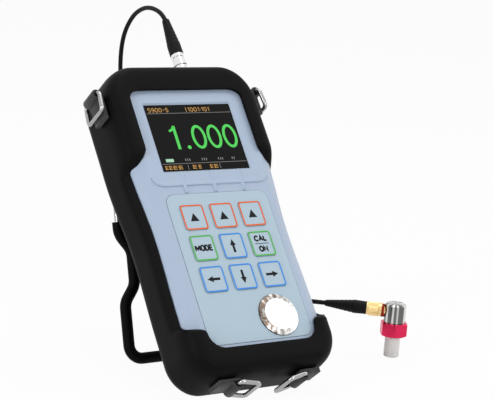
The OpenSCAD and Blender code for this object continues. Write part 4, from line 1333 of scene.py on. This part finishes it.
@dataclass
class Display:
    """The window and the picture that the display shows.

    The rows are measured from the window's middle. A menu word is its middle and its width.
    """

    middle: float = 120.0
    level: float = -0.79
    film: float = 0.02
    reading: Pair = (-6.4, 6.6)
    zeros: Point = (1.3, 10.2, 19.3)
    zero_size: Pair = (3.3, 5.9)
    dot: Pair = (-5.9, 1.05)
    status_row: float = 15.6
    scale_row: float = -12.4
    menu_row: float = -16.4
    ends: Pair = (-24.0, 24.2)
    scale_marks: tuple[float, ...] = (-10.5, -9.3, -8.1, -1.0, 0.2, 1.4, 8.4, 9.6, 10.8, 16.4, 17.6)
    menu_words: tuple[Pair, ...] = (
        (-22.4, 1.5), (-20.2, 1.9), (-17.6, 2.2), (-14.6, 2.4), (-6.6, 2.2), (-3.6, 1.6), (3.0, 1.6), (5.6, 2.3))
    menu_gaps: Pair = (-10.2, 8.0)
    colours: Mapping[Pixel, Finish] = field(default_factory=lambda: {
        Pixel.GREEN: LitPixels("pixels_green", srgb(64, 222, 78)),
        Pixel.GREY: LitPixels("pixels_grey", srgb(140, 136, 134)),
        Pixel.ORANGE: LitPixels("pixels_orange", srgb(214, 158, 66)),
        Pixel.PALE: LitPixels("pixels_pale", srgb(176, 226, 190))})

    def stroke(self, form: Form, path: Sequence[Pair], width: float, paint: Pixel,
               closed: bool = False) -> None:
        """Draws one line of the picture."""
        stroke(form, path, width, self.level, self.level + self.film, paint, closed)

    def upright(self, form: Form, x: float, y: float, reach: Pair, width: float, paint: Pixel) -> None:
        """Draws a line straight up and down that reaches so far below and above a point."""
        self.stroke(form, [(x, y - reach[0]), (x, y + reach[1])], width, paint)

    def number(self, form: Form) -> None:
        """The large reading."""
        low, high = self.middle + self.reading[0], self.middle + self.reading[1]
        for x in self.zeros:
            ring = oval(x, (low + high) / 2, *self.zero_size, 40)
            self.stroke(form, ring, 1.5, Pixel.GREEN, closed=True)
        self.stroke(form, [(-14.7, high - 2.9), (-13.0, high - 2.2), (-11.6, high - 0.3)], 1.2, Pixel.GREEN)
        self.stroke(form, [(-11.6, high), (-11.6, low)], 1.6, Pixel.GREEN)
        x, radius = self.dot
        form.prism(oval(x, low + 0.9, radius, radius, 20), self.level, self.level + self.film, Pixel.GREEN)

    def word(self, form: Form, text: str, x: float, width: float) -> None:
        """Prints a number in the status row."""
        write(form, text, x, self.middle + self.status_row, 2.4, width, 0.3,
              self.level, self.level + self.film, Pixel.ORANGE)

    def block(self, form: Form, x: float, y: float, width: float) -> None:
        """A plain little block of bars that stands for a menu word."""
        for k in (-1, 0, 1):
            bar = [(x - width / 2, y + 0.8 * k), (x + width / 2, y + 0.8 * k)]
            self.stroke(form, bar, 0.3, Pixel.ORANGE)
        self.upright(form, x - width / 4, y, (1.1, 1.1), 0.3, Pixel.ORANGE)

    def rule(self, form: Form, y: float) -> None:
        """A thin line across the picture."""
        self.stroke(form, [(x, y) for x in self.ends], 0.22, Pixel.GREY)

    def marks(self, form: Form) -> None:
        """Small plain marks: a status row above, a scale row and soft key bars below."""
        top, low, foot = (self.middle + row for row in (self.status_row, self.scale_row, self.menu_row))
        self.rule(form, top - 1.9)
        self.word(form, "5900-5", -17.2, 11.6)
        self.word(form, "1001:101", 6.0, 12.6)
        self.upright(form, -1.2, top, (1.3, 1.3), 0.3, Pixel.ORANGE)
        battery = rounded(4.4, 1.7, 0.3, 3, -19.4, low)
        form.prism(battery, self.level, self.level + self.film, Pixel.PALE)
        for x in self.scale_marks:
            self.upright(form, x, low, (0.6, 0.7), 0.42, Pixel.GREY)
        self.rule(form, low - 1.9)
        for x, width in self.menu_words:
            self.block(form, x, foot, width)
        for x in self.menu_gaps:
            self.upright(form, x, foot, (1.3, 1.3), 0.25, Pixel.GREY)

    def build(self) -> None:
        """Builds the picture over the dark window."""
        dress("display_lens", LENS)
        form = Form("display_picture", GAUGE)
        self.number(form)
        self.marks(form)
        thing = form.build(*(self.colours[pixel] for pixel in Pixel), smooth=False)
        ready(thing, "gauge", "display_glass")


@dataclass
class Key:
    """One film key: its place in the pad, outline colour and legend."""

    name: str
    column: int
    row: int
    tint: Tint
    legend: str


@dataclass
class Keypad:
    """The film keypad with nine outlined keys."""

    pitch: Pair = (16.5, 16.3)
    middle: float = 60.0
    size: Pair = (12.6, 13.1)
    radius: float = 1.6
    line: float = 0.72
    face: float = 0.05
    rim: float = 0.17
    ink: float = 0.02
    keys: tuple[Key, ...] = (
        Key("soft_key_left", -1, -1, Tint.ORANGE, "triangle"),
        Key("soft_key_middle", 0, -1, Tint.ORANGE, "triangle"),
        Key("soft_key_right", 1, -1, Tint.ORANGE, "triangle"),
        Key("mode_key", -1, 0, Tint.GREEN, "MODE"),
        Key("up_key", 0, 0, Tint.BLUE, "up"),
        Key("cal_key", 1, 0, Tint.GREEN, "CAL/ON"),
        Key("left_key", -1, 1, Tint.BLUE, "left"),
        Key("down_key", 0, 1, Tint.BLUE, "down"),
        Key("right_key", 1, 1, Tint.BLUE, "right"))
    ways: Mapping[str, float] = field(default_factory=lambda: {
        "up": 0.0, "left": 90.0, "down": 180.0, "right": 270.0})

    def arrow(self, turn: float) -> list[Pair]:
        """Outline of an arrow that points up, turned by an angle in degrees."""
        shape = [(-0.65, -3.5), (0.65, -3.5), (0.65, 0.3), (1.6, 0.3), (0.0, 3.5), (-1.6, 0.3), (-0.65, 0.3)]
        c, s = math.cos(math.radians(turn)), math.sin(math.radians(turn))
        return [(x * c - y * s, x * s + y * c) for x, y in shape]

    def legend(self, key: Key, x: float, y: float) -> bpy.types.Object:
        """The black print on one key."""
        form = Form(key.name + "_legend", GAUGE)
        low, high = self.face, self.face + self.ink
        if key.legend == "triangle":
            form.prism([(x - 2.4, y - 2.1), (x + 2.4, y - 2.1), (x, y + 2.3)], low, high)
        elif key.legend == "MODE":
            write(form, "MODE", x, y, 3.4, 10.0, 0.86, low, high)
        elif key.legend == "CAL/ON":
            write(form, "CAL", x, y + 2.8, 3.3, 7.4, 0.88, low, high)
            write(form, "ON", x, y - 2.8, 3.3, 5.2, 0.88, low, high)
            stroke(form, [(x - 3.9, y), (x + 3.9, y)], 0.34, low, high)
        else:
            form.prism([(x + px, y + py) for px, py in self.arrow(self.ways[key.legend])], low, high)
        return form.build(BLACK_INK, smooth=False)

    def outline(self, key: Key, x: float, y: float) -> bpy.types.Object:
        """The coloured outline printed on one key's raised rim."""
        w, h = self.size
        outer = rounded(w, h, self.radius, 8, x, y)
        inner = rounded(w - 2 * self.line, h - 2 * self.line, self.radius - self.line, 8, x, y)
        form = Form(key.name + "_outline", GAUGE)
        form.band(outer, inner, self.rim - self.ink / 2, self.rim + self.ink)
        return form.build(key.tint.ink(), smooth=False)

    def build(self) -> None:
        """Dresses the film and prints each key."""
        dress("keypad_overlay", FILM_BLUE)
        for key in self.keys:
            x, y = key.column * self.pitch[0], self.middle - key.row * self.pitch[1]
            dress(key.name, FILM_BLUE)
            slot = key.tint.name.lower() + "_key_film"
            ready(self.outline(key, x, y), key.name, slot)
            ready(self.legend(key, x, y), key.name, slot)
        dress("reference_disc", DISC_STEEL, 20)


# ---------------------------------------------------------------- stand, lugs and sockets


@dataclass
class Stand:
    """The wire stand and its bracket."""

    def build(self) -> None:
        """Dresses the wire, its sleeve, the bracket and its screws."""
        dress("bail_wire", BRIGHT_WIRE)
        dress("bail_sleeve", SLEEVE_RUBBER)
        dress("bail_bracket", BLACK_PLASTIC)
        dress("bracket_screws", BRIGHT_WIRE)
        log.info("stand dressed")


@dataclass
class Lug:
    """One folded webbing lug and its ring, with x along the case's side and y out of it."""

    corner: str
    place: Matrix
    pad: float
    hole: float = 1.5
    sheet: float = 1.2
    width: float = 11.0
    shift: float = 2.0
    lift: float = 0.25
    edge: float = 0.25
    rib: float = 0.85
    rise: float = 0.1

    def line(self) -> list[Pair]:
        """Middle line of the folded strap, from one end round the ring's bar to the other."""
        base, out = self.lift + self.sheet / 2, self.lift + self.hole + self.sheet
        upper, radius = self.lift + 1.5 * self.sheet, self.hole + self.sheet / 2
        points: list[Pair] = [(-self.pad, base), (0.0, base)]
        for a in map(math.radians, range(10, 271, 20)):
            points.append((self.shift + radius * math.sin(a), out - radius * math.cos(a)))
        points += [(-1.2, self.lift + 1.62 * self.sheet), (-2.4, upper), (-self.pad, upper)]
        return [(p[0], p[1]) for p in spline(points, 5)]

    def strap(self) -> Form:
        """The folded strap with its ribs."""
        line = self.line()
        rings: list[list[Point]] = []
        run = 0.0
        for i, (x, y) in enumerate(line):
            ax, ay = line[max(0, i - 1)]
            run += math.hypot(x - ax, y - ay)
            nx, ny = sideways(line, i)
            half = self.sheet / 2 - self.rise + self.rise * abs(math.cos(math.pi * run / self.rib))
            z, flat = self.width / 2, self.width / 2 - self.edge
            shape = [(half, -flat), (half, flat), (half / 2, z), (-half / 2, z),
                     (-half, flat), (-half, -flat), (-half / 2, -z), (half / 2, -z)]
            rings.append([(x + nx * o, y + ny * o, w) for o, w in shape])
        return Form("strap_" + self.corner, self.place).loft(rings)

    def build(self) -> None:
        """Builds the strap and dresses the ring."""
        thing = self.strap().build(WEBBING, crease=60)
        ready(thing, "gauge", "black_webbing", "webbing_" + self.corner)
        dress("ring_" + self.corner, BRIGHT_WIRE)


def lugs() -> list[Lug]:
    """The four lugs, mirrored left and right."""
    flip = Matrix.Diagonal((-1.0, 1.0, 1.0, 1.0))
    top = Matrix.Translation((-43.25, 145.0, -9.0)) @ Matrix.Rotation(math.radians(90), 4, "Z")
    foot = Matrix.Translation((20.5, -4.25, -9.0)) @ Matrix.Rotation(math.radians(180), 4, "Z")
    return [Lug("top_left", GAUGE @ top, 11.0), Lug("top_right", GAUGE @ flip @ top, 11.0),
            Lug("bottom_left", GAUGE @ flip @ foot, 7.5), Lug("bottom_right", GAUGE @ foot, 7.5)]


@dataclass
class TopPlug:
    """The plug at the top end with its knurled sleeve and strain relief."""

    place: Matrix = field(default_factory=plug_frame)
    shank: tuple[Pair, ...] = (
        (0.0, 152.0), (2.5, 152.0), (2.5, 157.2), (3.3, 157.2), (3.7, 157.5), (3.7, 158.6), (3.45, 158.8),
        (3.45, 159.2), (3.62, 159.3), (3.7, 159.5), (3.7, 166.8), (3.62, 167.0))
    knurl: tuple[float, ...] = (0.0,) * 9 + (0.22, 0.22, 0.0)
    collar: tuple[Pair, ...] = (
        (3.55, 167.0), (3.3, 167.3), (3.3, 168.2), (3.7, 168.5), (3.7, 169.4), (3.3, 169.6), (3.3, 172.4),
        (3.05, 172.6), (3.05, 173.1), (3.3, 173.3), (3.3, 175.2), (3.1, 175.4), (0.0, 175.4))

    def build(self) -> list[bpy.types.Object]:
        """Builds the plug and its relief.

        Returns:
            The pieces that are on the cable.
        """
        dress("probe_socket", NICKEL)
        dress("socket_nut", NICKEL)
        form = Form("plug_body", self.place)
        form.lathe(self.shank, 72, 0, self.knurl).lathe(self.collar, 72)
        plug = ready(form.build(NICKEL, crease=28), "gauge", "nickel_plate", "cable_plug")
        return [plug, relief("plug_boot", self.place, 175.4, 196.5, 3.6, 3.5, 6.0, "plug_relief", 1.9)]


RELIEF_STEPS = 60
RELIEF_GROOVE = 0.16


def relief(name: str, place: Matrix, start: float, end: float, r0: float, r1: float, shoulder: float,
           node: str, tail: float = 1.6) -> bpy.types.Object:
    """A tapered strain relief with shallow rings moulded into it.

    Args:
        name: Name of the piece.
        place: Its frame, with the cable along z.
        start: Where it begins along z.
        end: Where it ends.
        r0: Radius at the start.
        r1: Radius at the shoulder.
        shoulder: Length of the stretch before the taper.
        node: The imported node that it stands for.
        tail: Radius at its end.

    Returns:
        The new piece.
    """
    profile: list[Pair] = [(0.0, start), (r0 - 0.2, start), (r0, start + 0.25)]
    for i in range(1, RELIEF_STEPS):
        z = start + (end - start) * i / RELIEF_STEPS
        along = z - start
        if along < shoulder:
            profile.append((r0 + (r1 - r0) * along / shoulder, z))
        else:
            t = (along - shoulder) / (end - start - shoulder)
            groove = RELIEF_GROOVE * (1 - t) if (i // 3) % 2 else 0.0
            profile.append((r1 + (tail - r1) * t - groove, z))
    profile += [(tail - 0.05, end), (0.0, end)]
    thing = Form(name, place).lathe(profile, 40).build(CABLE_SKIN, crease=50)
    return ready(thing, "gauge", "black_rubber", node)


@dataclass
class Probe:
    """The probe that stands beside the gauge: delay tip, nut, steel body and gold connector."""

    at: Point = (72.6, -21.2, 0.0)
    lead_height: float = 23.85
    lead_angle: float = 136.0
    nut_flats: float = 12.9
    nut_low: float = 11.2
    nut_high: float = 18.2
    nut_sides: int = 72
    tip_radius: float = 4.0
    tip_ring: float = 0.02
    solids: Mapping[str, Finish] = field(default_factory=lambda: {
        "probe_body": TURNED_STEEL, "piezo_element": CERAMIC, "probe_backing": BLACK_PLASTIC,
        "coax_jack": GOLD, "coax_seal": SEAL_RED})
    coax_profile: tuple[Pair, ...] = (
        (2.5, 6.85), (3.4, 6.85), (3.6, 7.1), (3.6, 7.9), (3.3, 8.1), (3.3, 8.5), (3.62, 8.7), (3.7, 8.9),
        (3.7, 13.4), (3.62, 13.6), (3.4, 13.9), (3.4, 14.6), (3.2, 14.8), (0.0, 14.8))
    coax_knurl: tuple[float, ...] = (0.0,) * 7 + (0.24, 0.24) + (0.0,) * 5

    def stand_frame(self) -> Matrix:
        """Millimetres up the probe's axis."""
        return Matrix.Translation(Vector(self.at) * MM) @ WORLD_MM

    def lead_frame(self) -> Matrix:
        """Millimetres along the connector, with z away from the probe's axis."""
        where = Vector((self.at[0], self.at[1], self.lead_height)) * MM
        turn = Matrix.Rotation(math.radians(self.lead_angle), 4, "Z") @ Matrix.Rotation(math.radians(90), 4, "Y")
        return Matrix.Translation(where) @ turn @ WORLD_MM

    def nut(self) -> None:
        """The hexagonal nut with turned chamfers at both ends and a bore for the tip."""
        half, low, high = self.nut_flats / 2, self.nut_low, self.nut_high
        reach = half / math.cos(math.radians(30))
        turned = ((4.05, low), (half - 0.1, low), (reach - 0.45, low + 0.28), (reach, low + 0.62),
                  (reach, high - 0.62), (reach - 0.45, high - 0.28), (half - 0.1, high), (5.05, high),
                  (5.05, low + 1.3), (4.05, low + 1.3))
        rings: list[list[Point]] = []
        for limit, z in turned:
            ring: list[Point] = []
            for i in range(self.nut_sides):
                a = 2 * math.pi * i / self.nut_sides
                flat = half / math.cos((a % (math.pi / 3)) - math.pi / 6)
                r = min(flat - 0.12 * max(0.0, flat - reach + 0.25), limit)
                ring.append((r * math.cos(a), r * math.sin(a), z))
            rings.append(ring)
        form = Form("probe_nut", self.stand_frame()).loft(rings, closed=True)
        ready(form.build(CRIMSON, crease=24), "gauge", "red_anodised", "retaining_nut")

    def tip(self) -> None:
        """The translucent delay tip with its flange inside the nut."""
        low, radius = self.nut_low, self.tip_radius
        profile: list[Pair] = [(0.0, 0.0), (radius - 0.3, 0.0), (radius - 0.12, 0.06), (radius, 0.26)]
        for i, z in enumerate(spread(0.5, low - 0.2, 24, True)):
            profile.append((radius - (self.tip_ring if i % 2 else 0.0), z))
        profile += [(radius, low + 1.4), (4.9, low + 1.4), (4.9, low + 1.5), (0.0, low + 1.5)]
        form = Form("delay_line", self.stand_frame()).lathe(profile, 72)
        ready(form.build(DELAY, crease=40), "gauge", "delay_plastic", "delay_tip")

    def build(self) -> list[bpy.types.Object]:
        """Dresses the solids and builds the knurled connector.

        Returns:
            The pieces that are on the cable.
        """
        for node, finish in self.solids.items():
            dress(node, finish)
        self.nut()
        self.tip()
        form = Form("cable_nut", self.lead_frame()).lathe(self.coax_profile, 64, 0, self.coax_knurl)
        nut = ready(form.build(GOLD, crease=28), "gauge", "gold_plate", "coax_nut")
        return [nut, relief("lead_boot", self.lead_frame(), 14.8, 36.5, 3.3, 3.5, 6.5, "probe_relief")]


def main() -> None:
    """Builds the studio, the cable and then every sub-assembly."""
    logging.basicConfig(level=logging.INFO, format="%(name)s %(message)s")
    Studio().build()
    cable = Cable()
    lead = cable.build()
    on_cable = TopPlug().build() + Probe().build()
    Boot().build()
    Case().build()
    Display().build()
    Keypad().build()
    Stand().build()
    for lug in lugs():
        lug.build()


if __name__ == "__main__":
    main()
